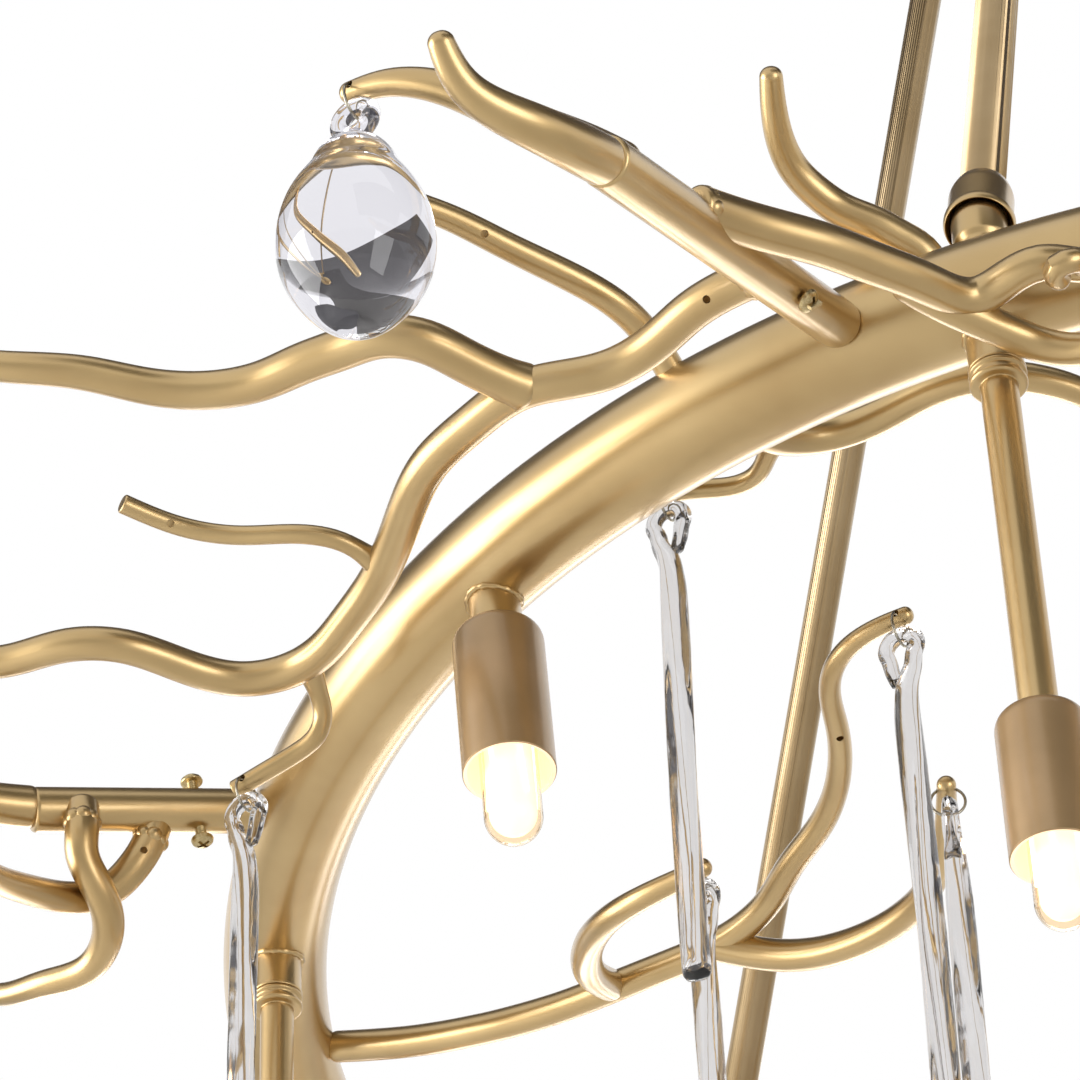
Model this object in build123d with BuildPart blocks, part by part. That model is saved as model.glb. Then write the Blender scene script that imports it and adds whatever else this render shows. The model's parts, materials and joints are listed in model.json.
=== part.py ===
from build123d import *
import os
from math import atan2, cos, radians, sin, sqrt

os.makedirs("parts", exist_ok=True)

# A crystal chandelier: a ring of gold tube under three leaning rods, with forged
# branches, glass drops on wire rings and lamps in plain cups. Millimetres, +Z up. The
# origin is the middle of the ceiling face. Everything repeats in three equal sectors
# about Z, and the first suspension rod stands at -Y.

# Sectors, and the heading of each thing in the first sector, in degrees about Z
sector_count = 3
sector_angle = 360 / sector_count
rod_heading = -90.0
long_lamp_headings = [-90.0, -150.0]
short_lamp_headings = [-119.0, -179.0]
long_branch_heading = -96.2
short_branch_headings = [-140.4, -178.5]
rising_limb_heading = -140.7

# Clearances, and the distance that a cutter runs past a face
running_gap = 0.05
slip_gap = 0.3
cutter_overrun = 2.0

# Main ring: bent steel tube
ring_radius = 400.0
ring_tube_radius = 19.0
ring_wall = 1.5
ring_seam_angle = -15.0

# Ceiling bracket: a crossbar with a strap under it that carries the swivel ball
crossbar_length = 120.0
crossbar_width = 24.0
crossbar_thickness = 3.0
box_screw_spacing = 88.9
box_screw_hole_radius = 2.2
strap_half_width = 20.0
strap_thickness = 3.0
strap_depth = 27.0
seat_hole_radius = 9.0

# Canopy and its two screws
canopy_radius = 68.0
canopy_depth = 36.0
canopy_wall = 1.2
canopy_corner = 18.0
canopy_mouth_radius = 13.0
canopy_screw_offset = 36.0
canopy_screw_radius = 2.0
canopy_knob_radius = 6.0

# Swivel ball and stem
ball_radius = 12.0
stem_neck_radius = 5.0
stem_neck_length = 26.0
stem_radius = 7.0
stem_length = 190.0

# Hub with three pairs of ears
hub_radius = 20.0
hub_height = 36.0
hub_edge = 4.0
stem_socket_depth = 12.0
eye_radius_out = 45.0
ear_radius = 9.0
ear_thickness = 4.0
ear_gap = 6.6
pin_radius = 3.0
pin_head_radius = 5.0
pin_head_height = 2.5

# Suspension rods, from the feet on the ring to the hub
rod_rise = 955.0
rod_radius = 7.5
tongue_thickness = 6.0
tongue_radius = 8.0
tongue_length = 24.0

# Rod feet on the ring: a post with a ball top, and a bell over it
post_radius = 8.5
post_height = 11.0
post_stud_radius = 4.0
post_stud_reach = 20.0
bell_lip_radius = 11.3
bell_lip_height = 3.5
bell_barrel_radius = 10.6
bell_barrel_height = 20.0
bell_crown_radius = 8.6
bell_height = 27.0
bell_cavity_depth = 9.8
bell_bore_depth = 20.5

# Spigots on the ring, and the sleeves that slip over them
spigot_radius = 6.0
spigot_reach = 50.0
spigot_tilt_long = 21.2
spigot_tilt_short = 9.8
sleeve_radius = 8.0
sleeve_bore_depth = 52.0

# Screws in the sleeves: how far along, turned about the sleeve, and how proud they stand
long_screw_setback = 40.0
long_screw_turn = 40.0
long_screw_stand = 0.6
short_screw_setback = 21.0
short_screw_turn = 0.0
short_screw_stand = 4.0
screw_radius = 2.0
screw_inner_end = 3.0
screw_head_radius = 4.0
screw_head_height = 2.8
screw_recess_width = 0.9
screw_recess_length = 4.6
screw_recess_depth = 1.4

# Lamps: neck, rod, cup, socket and bulb
neck_radius = 8.75
neck_bottom = 33.0
nipple_radius = 4.9
nipple_length = 8.0
short_lamp_lean = 4.0
long_cup_top = 170.0
coupling_radius = 9.2
coupling_step_radius = 8.2
coupling_rim_height = 1.6
coupling_height = 6.0
lamp_rod_radius = 6.0
cup_radius = 15.25
cup_wall = 1.0
cup_top_thickness = 1.5
cup_height = 60.0
cup_shoulder = 2.0
long_cup_radius = 13.9
long_cup_height = 51.0
socket_radius = 10.5
socket_length = 30.0
long_socket_length = 25.0
socket_bore_depth = 18.0
bulb_base_radius = 6.0
bulb_base_length = 16.0
bulb_radius = 9.5
bulb_shoulder = 6.0
bulb_length = 56.0
long_bulb_radius = 8.3
long_bulb_length = 48.0
bulb_seat_gap = 0.5

# Branches: the span that their shares are measured in, and their bar sizes
branch_span = 100.0
long_sleeve_share = 1.66
short_sleeve_share = 0.80
main_tip_root_radius = 7.5
bar_radius = 6.4
thick_bar_radius = 7.0
side_bar_radius = 6.0
twig_radius = 3.25
tip_radius = 3.6
forked_tip_radius = 5.4
side_tip_radius = 4.6
inner_tip_radius = 3.0
upper_bar_radius = 5.0
taper_power = 2
stations_per_place = 2

# Glass drops and the wire rings that carry them
twig_hole_radius = 1.3
twig_hole_setback = 5.0
wire_radius = 0.5
wire_ring_radius = 5.8
wire_lift = 0.5
loop_tube_radius = 2.9
loop_radius = 5.6
drop_radius = 5.0
drop_length = 185.0
short_drop_length = 150.0
drop_shoulder = 24.0
drop_end = 3.0
egg_radius = 23.5
egg_height = 78.0
egg_neck = 3.0

# The egg's outline below its neck, in shares of its radius and of its height
egg_outline_shares = [(0.62, 0.22), (1.0, 0.58), (0.66, 0.87), (0.0, 1.0)]

# Heights that follow from the sizes above
ball_seat_rise = sqrt((ball_radius + running_gap) ** 2 - seat_hole_radius**2)
ball_z = -strap_depth + strap_thickness + ball_seat_rise
hub_top = ball_z - stem_length + stem_socket_depth
eye_z = hub_top - hub_height / 2
foot_z = eye_z - rod_rise
ring_z = foot_z - post_height - ring_tube_radius
rod_run = ring_radius - eye_radius_out
rod_span = sqrt(rod_run**2 + rod_rise**2)
bell_cavity_radius = (post_radius + slip_gap) / cos(atan2(rod_run, rod_rise))

# Branch shapes: places out from the ring's centre line, sideways and up, in shares
# of the branch span
main_tip_shares = [
    (1.70, 0.0, -0.66), (1.88, -0.02, -0.73), (2.06, -0.08, -0.76),
    (2.24, -0.16, -0.73), (2.38, -0.16, -0.64),
]
forked_limb_shares = [
    (0.68, -0.02, -0.25), (0.65, -0.27, -0.25), (0.59, -0.44, -0.26), (0.57, -0.63, -0.27),
    (0.61, -0.75, -0.28), (0.64, -0.88, -0.28), (0.59, -1.09, -0.28), (0.50, -1.30, -0.28),
    (0.37, -1.46, -0.28), (0.23, -1.60, -0.28), (0.09, -1.76, -0.28), (-0.03, -1.94, -0.28),
    (-0.14, -2.18, -0.28), (-0.10, -2.39, -0.28), (0.06, -2.53, -0.27), (0.24, -2.65, -0.26),
    (0.32, -2.83, -0.24), (0.34, -3.06, -0.22), (0.43, -3.24, -0.18), (0.56, -3.34, -0.12),
]
side_limb_shares = [
    (0.62, -0.86, -0.28), (0.83, -0.98, -0.26), (0.95, -1.05, -0.24), (1.02, -1.16, -0.22),
    (1.02, -1.30, -0.20), (1.02, -1.45, -0.19), (1.01, -1.60, -0.18), (1.05, -1.80, -0.16),
    (1.15, -1.96, -0.14), (1.28, -2.10, -0.12), (1.42, -2.31, -0.10), (1.51, -2.50, -0.04),
]
open_twig_shares = [
    (0.14, -1.70, -0.28), (0.29, -1.76, -0.25), (0.37, -1.86, -0.23), (0.44, -2.05, -0.20),
    (0.55, -2.21, -0.17), (0.72, -2.33, -0.14),
]
drop_twig_shares = [
    (-0.16, -2.17, -0.28), (-0.28, -2.20, -0.32), (-0.33, -2.22, -0.36), (-0.35, -2.25, -0.40),
    (-0.365, -2.33, -0.43), (-0.36, -2.43, -0.46), (-0.355, -2.585, -0.50),
]
far_limb_shares = [
    (1.20, 0.02, -0.42), (1.06, 0.08, -0.39), (0.91, 0.17, -0.37), (0.79, 0.25, -0.36),
    (0.66, 0.32, -0.35), (0.53, 0.39, -0.34), (0.42, 0.44, -0.33), (0.34, 0.48, -0.32),
    (0.30, 0.53, -0.31), (0.30, 0.59, -0.30), (0.32, 0.66, -0.30), (0.32, 0.75, -0.30),
    (0.28, 0.81, -0.30), (0.24, 0.88, -0.31), (0.24, 0.99, -0.32), (0.34, 1.10, -0.33),
    (0.50, 1.18, -0.32), (0.66, 1.20, -0.28),
]
curl_twig_shares = [
    (0.26, 0.85, -0.31), (0.33, 0.89, -0.37), (0.41, 0.87, -0.42), (0.42, 0.81, -0.44),
    (0.36, 0.78, -0.44), (0.29, 0.79, -0.42),
]
low_limb_shares = [
    (0.473, 0.344, -0.28), (0.383, 0.394, -0.305), (0.283, 0.464, -0.335), (0.183, 0.544, -0.365),
    (0.093, 0.624, -0.395), (0.053, 0.724, -0.435), (0.073, 0.864, -0.475), (0.173, 0.984, -0.515),
    (0.293, 1.044, -0.575),
]
egg_twig_shares = [
    (1.62, 0.02, -0.62), (1.60, -0.14, -0.42), (1.64, -0.34, -0.23), (1.74, -0.52, -0.10),
    (1.78, -0.68, -0.03), (1.78, -0.84, 0.0),
]
short_tip_shares = [
    (0.95, 0.0, -0.155), (1.12, 0.02, -0.18), (1.30, 0.08, -0.20), (1.46, 0.18, -0.18),
    (1.60, 0.20, -0.12), (1.72, 0.15, -0.04),
]
crossing_limb_shares = [
    (0.81, 0.04, -0.15), (0.81, 0.06, -0.26), (0.80, 0.03, -0.36), (0.76, 0.0, -0.42),
    (0.70, -0.06, -0.48), (0.66, -0.20, -0.52), (0.70, -0.38, -0.54), (0.82, -0.52, -0.52),
    (0.92, -0.68, -0.47), (1.04, -0.80, -0.40),
]
under_limb_shares = [
    (0.53, -0.01, -0.10), (0.56, -0.04, -0.22), (0.61, -0.08, -0.31), (0.68, -0.13, -0.375),
    (0.80, -0.12, -0.43), (0.96, -0.02, -0.50), (1.10, 0.12, -0.58), (1.22, 0.30, -0.66),
    (1.32, 0.46, -0.72),
]
under_twig_shares = [
    (1.06, 0.07, -0.555), (1.19, 0.05, -0.60), (1.31, -0.05, -0.63), (1.43, -0.15, -0.65),
    (1.53, -0.28, -0.66),
]
low_upper_limb_shares = [
    (0.05, -0.64, 0.10), (0.14, -0.65, 0.16), (0.31, -0.68, 0.22), (0.51, -0.79, 0.28),
    (0.68, -0.91, 0.33), (0.85, -1.03, 0.38), (1.02, -1.15, 0.42), (1.18, -1.20, 0.50),
]
high_upper_limb_shares = [
    (0.0, 0.27, 0.14), (0.06, 0.265, 0.20), (0.12, 0.22, 0.24), (0.19, 0.16, 0.28),
    (0.25, 0.09, 0.32), (0.33, 0.04, 0.36), (0.43, 0.01, 0.40), (0.58, 0.03, 0.46),
    (0.74, 0.10, 0.54),
]
inner_limb_shares = [
    (-0.20, -0.53, 0.05), (-0.36, -0.49, 0.10), (-0.45, -0.44, 0.14), (-0.53, -0.33, 0.18),
    (-0.55, -0.19, 0.20), (-0.53, -0.03, 0.20), (-0.52, 0.12, 0.18), (-0.55, 0.25, 0.16),
    (-0.62, 0.36, 0.14), (-0.72, 0.45, 0.12), (-0.86, 0.50, 0.11), (-1.00, 0.50, 0.14),
    (-1.12, 0.44, 0.20),
]
inner_twig_shares = [
    (-0.35, -0.48, 0.10), (-0.41, -0.55, 0.09), (-0.48, -0.63, 0.09), (-0.50, -0.72, 0.10),
    (-0.46, -0.84, 0.11), (-0.44, -0.99, 0.135),
]
rising_limb_shares = [
    (-0.42, -1.34, -0.02), (-0.62, -1.15, -0.10), (-0.85, -0.90, -0.18), (-1.10, -0.60, -0.24),
    (-1.35, -0.25, -0.28), (-1.55, 0.05, -0.30), (-1.62, 0.28, -0.30), (-1.63, 0.49, -0.30),
    (-1.66, 0.74, -0.30), (-1.64, 0.99, -0.30), (-1.54, 1.28, -0.30), (-1.46, 1.45, -0.30),
    (-1.44, 1.64, -0.30), (-1.49, 1.77, -0.30), (-1.60, 1.90, -0.30),
]
rising_far_twig_shares = [
    (-1.50, -0.03, -0.29), (-1.70, 0.10, -0.40), (-1.88, 0.35, -0.50), (-2.00, 0.70, -0.56),
    (-1.96, 1.10, -0.60), (-1.85, 1.44, -0.60),
]
rising_near_twig_shares = [
    (-1.24, -0.40, -0.26), (-1.08, -0.15, -0.40), (-0.98, 0.20, -0.52), (-1.04, 0.56, -0.60),
    (-1.14, 0.70, -0.60), (-1.22, 0.81, -0.60),
]

# Local frames: X out from the ring's axis, Y sideways, Z up, before they are turned
def local_places(shares):
    places = []
    for out, side, up in shares:
        places.append(Vector(
            ring_radius + branch_span * out,
            branch_span * side,
            ring_z + branch_span * up,
        ))
    return places


def sleeve_frame(tilt, screw_turn):
    """The frame at a spigot's root: Z outwards along it, X along its screws."""
    upright = cos(radians(screw_turn))
    return Plane(
        origin=(ring_radius, 0, ring_z),
        x_dir=(sin(radians(tilt)) * upright, -sin(radians(screw_turn)), cos(radians(tilt)) * upright),
        z_dir=(cos(radians(tilt)), 0, -sin(radians(tilt))),
    )


def lamp_frame(lean):
    """The frame of a lamp, its Z up the lamp's axis, from the ring's centre line."""
    return Plane(
        origin=(ring_radius, 0, ring_z),
        x_dir=(1, 0, 0),
        z_dir=(0, -sin(radians(lean)), cos(radians(lean))),
    )


def round_bar(shares, root_radius, end_radius):
    """A tapered round bar through the places, each section square to the path."""
    with BuildLine():
        path = Spline(*local_places(shares))
    count = stations_per_place * (len(shares) - 1)
    across = Vector(0, 0, 1)
    with BuildPart() as bar:
        for station in range(count + 1):
            share = station / count
            heading = path % share
            across = (across - heading * across.dot(heading)).normalized()
            section = Plane(origin=path @ share, x_dir=across, z_dir=heading)
            with BuildSketch(section):
                Circle(root_radius + (end_radius - root_radius) * share**taper_power)
        loft()
    return bar.part


def twig_hole(shares):
    """Where a twig's hole lies, and the level line that it is drilled along."""
    with BuildLine():
        path = Spline(*local_places(shares))
    share = 1 - twig_hole_setback / path.length
    level = Vector(0, 0, 1).cross(path % share).normalized()
    return path @ share, level


def hole_cutter(shares, radius):
    place, level = twig_hole(shares)
    with BuildPart() as cutter:
        with BuildSketch(Plane(origin=place, z_dir=level)):
            Circle(twig_hole_radius)
        extrude(amount=radius + cutter_overrun, both=True)
    return cutter.part


def turned(shape, angle):
    return shape.rotate(Axis.Z, angle)


def sector_headings(headings):
    """The headings of the first sector's things, and of their copies in the others."""
    found = []
    for sector in range(sector_count):
        for heading in headings:
            found.append(heading + sector * sector_angle)
    return found


# Ceiling bracket
with BuildPart() as ceiling_bracket:
    with BuildSketch(Plane.XY.offset(-crossbar_thickness)):
        SlotOverall(crossbar_length, crossbar_width)
        with GridLocations(box_screw_spacing, 0, 2, 1):
            Circle(box_screw_hole_radius, mode=Mode.SUBTRACT)
        with GridLocations(2 * canopy_screw_offset, 0, 2, 1):
            Circle(canopy_screw_radius + running_gap, mode=Mode.SUBTRACT)
    extrude(amount=crossbar_thickness)
    with BuildSketch(Plane.XZ):
        with Locations((0, -strap_depth / 2)):
            Rectangle(2 * strap_half_width, strap_depth)
        with Locations((0, -strap_depth / 2 + strap_thickness)):
            Rectangle(
                2 * (strap_half_width - strap_thickness),
                strap_depth,
                mode=Mode.SUBTRACT,
            )
    extrude(amount=crossbar_width / 2, both=True)
    with BuildSketch(Plane.XY.offset(-strap_depth - cutter_overrun)):
        Circle(seat_hole_radius)
    extrude(amount=strap_thickness + 2 * cutter_overrun, mode=Mode.SUBTRACT)
ceiling_bracket.part.label = "ceiling_bracket"
export_step(ceiling_bracket.part, "parts/ceiling_bracket.step")

# Canopy
with BuildPart() as canopy:
    with BuildSketch(Plane.XZ):
        with BuildLine():
            Polyline(
                (0, 0),
                (canopy_radius, 0),
                (canopy_radius, -canopy_depth),
                (0, -canopy_depth),
                (0, 0),
            )
        make_face()
    revolve(axis=Axis.Z)
    low_rim = canopy.edges().filter_by(GeomType.CIRCLE).group_by(Axis.Z)[0]
    fillet(low_rim, canopy_corner)
    offset(amount=-canopy_wall, openings=canopy.faces().sort_by(Axis.Z)[-1])
    with BuildSketch(Plane.XY.offset(-canopy_depth - cutter_overrun)):
        Circle(canopy_mouth_radius)
        with GridLocations(2 * canopy_screw_offset, 0, 2, 1):
            Circle(canopy_screw_radius + running_gap)
    extrude(amount=canopy_wall + 2 * cutter_overrun, mode=Mode.SUBTRACT)
canopy.part.label = "canopy"
export_step(canopy.part, "parts/canopy.step")

# Canopy screws with round knobs
with BuildPart() as canopy_screws:
    with BuildSketch(Plane.XY.offset(-canopy_depth)):
        with GridLocations(2 * canopy_screw_offset, 0, 2, 1):
            Circle(canopy_screw_radius)
    extrude(amount=canopy_depth)
    with BuildSketch(Plane.XY.offset(-canopy_depth)):
        with GridLocations(2 * canopy_screw_offset, 0, 2, 1):
            Circle(canopy_knob_radius)
    extrude(amount=-canopy_knob_radius)
    knob_rims = canopy_screws.edges().filter_by(GeomType.CIRCLE).group_by(Axis.Z)[0]
    fillet(knob_rims, canopy_knob_radius / 2)
canopy_screws.part.label = "canopy_screws"
export_step(canopy_screws.part, "parts/canopy_screws.step")

# Swivel stem: the ball, its neck and the stem in one turned piece
with BuildPart() as swivel_stem:
    with BuildSketch(Plane.XY.offset(ball_z - stem_length)):
        Circle(stem_radius)
    extrude(amount=stem_length - stem_neck_length)
    with BuildSketch(Plane.XY.offset(ball_z - stem_neck_length)):
        Circle(stem_neck_radius)
    extrude(amount=stem_neck_length)
    with Locations((0, 0, ball_z)):
        Sphere(ball_radius)
swivel_stem.part.label = "swivel_stem"
export_step(swivel_stem.part, "parts/swivel_stem.step")

# Hub with ears
with BuildPart() as hub:
    with BuildSketch(Plane.XY.offset(hub_top - hub_height)):
        Circle(hub_radius)
    extrude(amount=hub_height)
    hub_rims = hub.edges().filter_by(GeomType.CIRCLE)
    fillet(hub_rims, hub_edge)
    for sector in range(sector_count):
        ear_plane = Plane.XZ.rotated((0, 0, rod_heading + sector * sector_angle))
        for side in (-1, 1):
            inner_face = side * ear_gap / 2
            with BuildSketch(ear_plane.offset(inner_face)):
                with Locations((eye_radius_out / 2, eye_z)):
                    Rectangle(eye_radius_out, 2 * ear_radius)
                with Locations((eye_radius_out, eye_z)):
                    Circle(ear_radius)
                    Circle(pin_radius + running_gap, mode=Mode.SUBTRACT)
            extrude(amount=side * ear_thickness)
    with BuildSketch(Plane.XY.offset(hub_top - stem_socket_depth)):
        Circle(stem_radius + running_gap)
    extrude(amount=stem_socket_depth + cutter_overrun, mode=Mode.SUBTRACT)
hub.part.label = "hub"
export_step(hub.part, "parts/hub.step")

# Hub pins
with BuildPart() as hub_pins:
    for sector in range(sector_count):
        pin_plane = Plane.XZ.rotated((0, 0, rod_heading + sector * sector_angle))
        pin_half = ear_gap / 2 + ear_thickness
        with BuildSketch(pin_plane.offset(-pin_half)):
            with Locations((eye_radius_out, eye_z)):
                Circle(pin_radius)
        extrude(amount=2 * pin_half)
        for side in (-1, 1):
            with BuildSketch(pin_plane.offset(side * pin_half)):
                with Locations((eye_radius_out, eye_z)):
                    Circle(pin_head_radius)
            extrude(amount=side * pin_head_height)
hub_pins.part.label = "hub_pins"
export_step(hub_pins.part, "parts/hub_pins.step")

# Suspension rod, made over the X axis and turned to each foot
foot = Vector(ring_radius, 0, foot_z)
eye = Vector(eye_radius_out, 0, eye_z)
rod_line = (eye - foot).normalized()
rod_frame = Plane(origin=foot, x_dir=(0, 1, 0), z_dir=rod_line)
tongue_frame = Plane(origin=eye, x_dir=rod_line, z_dir=(0, 1, 0))

with BuildPart() as rod_master:
    with BuildSketch(rod_frame.offset(bell_bore_depth)):
        Circle(rod_radius)
    extrude(amount=rod_span - bell_bore_depth - tongue_length)
    with BuildSketch(tongue_frame.offset(-tongue_thickness / 2)):
        Circle(tongue_radius)
        with Locations((-tongue_length / 2, 0)):
            Rectangle(tongue_length, 2 * tongue_radius)
        Circle(pin_radius + running_gap, mode=Mode.SUBTRACT)
    extrude(amount=tongue_thickness)
    with BuildSketch(tongue_frame.offset(-tongue_thickness / 2)):
        with Locations((-tongue_length - tongue_radius / 2, 0)):
            Rectangle(tongue_radius, 2 * rod_radius)
    extrude(amount=tongue_thickness)

for sector in range(sector_count):
    name = f"suspension_rod_{sector + 1}"
    with BuildPart() as suspension_rod:
        add(turned(rod_master.part, rod_heading + sector * sector_angle))
    suspension_rod.part.label = name
    export_step(suspension_rod.part, f"parts/{name}.step")

# Rod bells over the posts
with BuildPart() as bell_master:
    with BuildSketch(Plane(origin=foot, x_dir=(rod_line.Z, 0, -rod_line.X), z_dir=(0, -1, 0))):
        with BuildLine():
            Polyline(
                (bell_cavity_radius, 0),
                (bell_lip_radius, 0),
                (bell_lip_radius, bell_lip_height),
                (bell_barrel_radius, bell_lip_height),
                (bell_barrel_radius, bell_barrel_height),
                (bell_crown_radius, bell_height),
                (rod_radius + running_gap, bell_height),
                (rod_radius + running_gap, bell_bore_depth),
                (post_stud_radius + running_gap, bell_bore_depth),
                (post_stud_radius + running_gap, bell_cavity_depth),
                (bell_cavity_radius, bell_cavity_depth),
                (bell_cavity_radius, 0),
            )
        make_face()
    revolve(axis=Axis(foot, rod_line))

with BuildPart() as rod_bells:
    for sector in range(sector_count):
        add(turned(bell_master.part, rod_heading + sector * sector_angle))
rod_bells.part.label = "rod_bells"
export_step(rod_bells.part, "parts/rod_bells.step")


def ring_bar(radius):
    """A round bar bent into the ring, its seam where the spigots and sleeves cover it."""
    seam = radians(ring_seam_angle)
    section = Plane(
        origin=(ring_radius, 0, ring_z), x_dir=(cos(seam), 0, sin(seam)), z_dir=(0, -1, 0))
    with BuildPart() as bar:
        with BuildSketch(section):
            Circle(radius)
        revolve(axis=Axis.Z)
    return bar.part


# The ring's outside as a solid, which also copes what is welded to it
ring_core = ring_bar(ring_tube_radius)

with BuildPart() as post_master:
    with BuildSketch(Plane(origin=(ring_radius, 0, ring_z))):
        Circle(post_radius)
    extrude(amount=ring_tube_radius + post_height)
    with Locations(foot):
        Sphere(post_radius)
    with BuildSketch(rod_frame):
        Circle(post_stud_radius)
    extrude(amount=post_stud_reach)


def spigot(frame, setback):
    """A spigot with the cross hole for its two screws."""
    with BuildPart() as bar:
        with BuildSketch(frame):
            Circle(spigot_radius)
        extrude(amount=ring_tube_radius + spigot_reach)
        screw_place = frame.from_local_coords(Vector(0, 0, ring_tube_radius + setback))
        with BuildSketch(Plane(origin=screw_place, z_dir=frame.x_dir)):
            Circle(screw_radius + running_gap)
        extrude(amount=spigot_radius + cutter_overrun, both=True, mode=Mode.SUBTRACT)
    return bar.part


long_frame = sleeve_frame(spigot_tilt_long, long_screw_turn)
short_frame = sleeve_frame(spigot_tilt_short, short_screw_turn)
long_spigot = spigot(long_frame, long_screw_setback)
short_spigot = spigot(short_frame, short_screw_setback)
long_branch_headings_all = sector_headings([long_branch_heading])
short_branch_headings_all = sector_headings(short_branch_headings)

# Main ring with its posts and spigots
with BuildPart() as main_ring:
    add(ring_core)
    for heading in sector_headings([rod_heading]):
        add(turned(post_master.part, heading))
    for heading in long_branch_headings_all:
        add(turned(long_spigot, heading))
    for heading in short_branch_headings_all:
        add(turned(short_spigot, heading))
    add(ring_bar(ring_tube_radius - ring_wall), mode=Mode.SUBTRACT)
main_ring.part.label = "main_ring"
export_step(main_ring.part, "parts/main_ring.step")


def sleeve(frame, length):
    """A sleeve's outside, from the ring's face outwards."""
    with BuildPart() as tube:
        with BuildSketch(frame.offset(ring_tube_radius + slip_gap)):
            Circle(sleeve_radius)
        extrude(amount=length)
    return tube.part


def sleeve_cutters(frame, setback):
    """What a sleeve's bore and its two screw holes take away."""
    place = frame.from_local_coords(Vector(0, 0, ring_tube_radius + setback))
    with BuildPart() as cutters:
        with BuildSketch(frame):
            Circle(spigot_radius + slip_gap)
        extrude(amount=ring_tube_radius + sleeve_bore_depth)
        with BuildSketch(Plane(origin=place, z_dir=frame.x_dir)):
            Circle(screw_radius + running_gap)
        extrude(amount=sleeve_radius + cutter_overrun, both=True)
    return cutters.part


# Long branch: a sleeve that forks into waving limbs
long_sleeve = sleeve(long_frame, long_sleeve_share * branch_span)
long_bars = [
    round_bar(main_tip_shares, main_tip_root_radius, tip_radius),
    round_bar(forked_limb_shares, bar_radius, forked_tip_radius),
    round_bar(side_limb_shares, thick_bar_radius, side_tip_radius),
    round_bar(open_twig_shares, twig_radius, twig_radius),
    round_bar(drop_twig_shares, twig_radius, twig_radius),
    round_bar(far_limb_shares, thick_bar_radius, tip_radius),
    round_bar(curl_twig_shares, tip_radius, tip_radius),
    round_bar(low_limb_shares, side_bar_radius, tip_radius),
    round_bar(egg_twig_shares, thick_bar_radius, twig_radius),
]
long_cutters = [
    hole_cutter(shares, thick_bar_radius)
    for shares in (open_twig_shares, drop_twig_shares, egg_twig_shares)
]
with BuildPart() as long_branch_master:
    add(long_sleeve)
    add(long_bars)
    add(long_cutters, mode=Mode.SUBTRACT)
    add(sleeve_cutters(long_frame, long_screw_setback), mode=Mode.SUBTRACT)

for number, heading in enumerate(long_branch_headings_all, 1):
    name = f"long_branch_{number}"
    with BuildPart() as long_branch:
        add(turned(long_branch_master.part, heading))
    long_branch.part.label = name
    export_step(long_branch.part, f"parts/{name}.step")

# Short branch: a sleeve with limbs that cross under it
short_sleeve = sleeve(short_frame, short_sleeve_share * branch_span)
short_bars = [
    round_bar(short_tip_shares, main_tip_root_radius, tip_radius),
    round_bar(crossing_limb_shares, side_bar_radius, tip_radius),
    round_bar(under_limb_shares, side_bar_radius, tip_radius),
    round_bar(under_twig_shares, twig_radius, twig_radius),
]
short_cutter = hole_cutter(under_twig_shares, thick_bar_radius)
with BuildPart() as short_branch_master:
    add(short_sleeve)
    add(short_bars)
    add(short_cutter, mode=Mode.SUBTRACT)
    add(sleeve_cutters(short_frame, short_screw_setback), mode=Mode.SUBTRACT)

for number, heading in enumerate(short_branch_headings_all, 1):
    name = f"short_branch_{number}"
    with BuildPart() as short_branch:
        add(turned(short_branch_master.part, heading))
    short_branch.part.label = name
    export_step(short_branch.part, f"parts/{name}.step")

# Limbs welded on top of the ring
with BuildPart() as upper_master:
    add(round_bar(low_upper_limb_shares, upper_bar_radius, tip_radius))
    add(round_bar(high_upper_limb_shares, side_bar_radius, tip_radius))
    add(ring_core, mode=Mode.SUBTRACT)

with BuildPart() as upper_limbs:
    for heading in long_branch_headings_all:
        add(turned(upper_master.part, heading))
upper_limbs.part.label = "upper_limbs"
export_step(upper_limbs.part, "parts/upper_limbs.step")

# Limbs welded to the inside of the ring
inner_bars = [
    round_bar(inner_limb_shares, side_bar_radius, tip_radius),
    round_bar(inner_twig_shares, twig_radius, twig_radius),
]
with BuildPart() as inner_master:
    add(inner_bars)
    add(ring_core, mode=Mode.SUBTRACT)
    add(hole_cutter(inner_twig_shares, thick_bar_radius), mode=Mode.SUBTRACT)

for number, heading in enumerate(long_branch_headings_all, 1):
    name = f"inner_limb_{number}"
    with BuildPart() as inner_limb:
        add(turned(inner_master.part, heading))
    inner_limb.part.label = name
    export_step(inner_limb.part, f"parts/{name}.step")

rising_bars = [
    round_bar(rising_limb_shares, side_bar_radius, inner_tip_radius),
    round_bar(rising_far_twig_shares, side_bar_radius, twig_radius),
    round_bar(rising_near_twig_shares, side_bar_radius, twig_radius),
]
rising_cutters = [
    hole_cutter(shares, thick_bar_radius)
    for shares in (rising_limb_shares, rising_far_twig_shares, rising_near_twig_shares)
]
with BuildPart() as rising_master:
    add(rising_bars)
    add(ring_core, mode=Mode.SUBTRACT)
    add(rising_cutters, mode=Mode.SUBTRACT)

rising_headings = sector_headings([rising_limb_heading])
for number, heading in enumerate(rising_headings, 1):
    name = f"rising_limb_{number}"
    with BuildPart() as rising_limb:
        add(turned(rising_master.part, heading))
    rising_limb.part.label = name
    export_step(rising_limb.part, f"parts/{name}.step")


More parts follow.
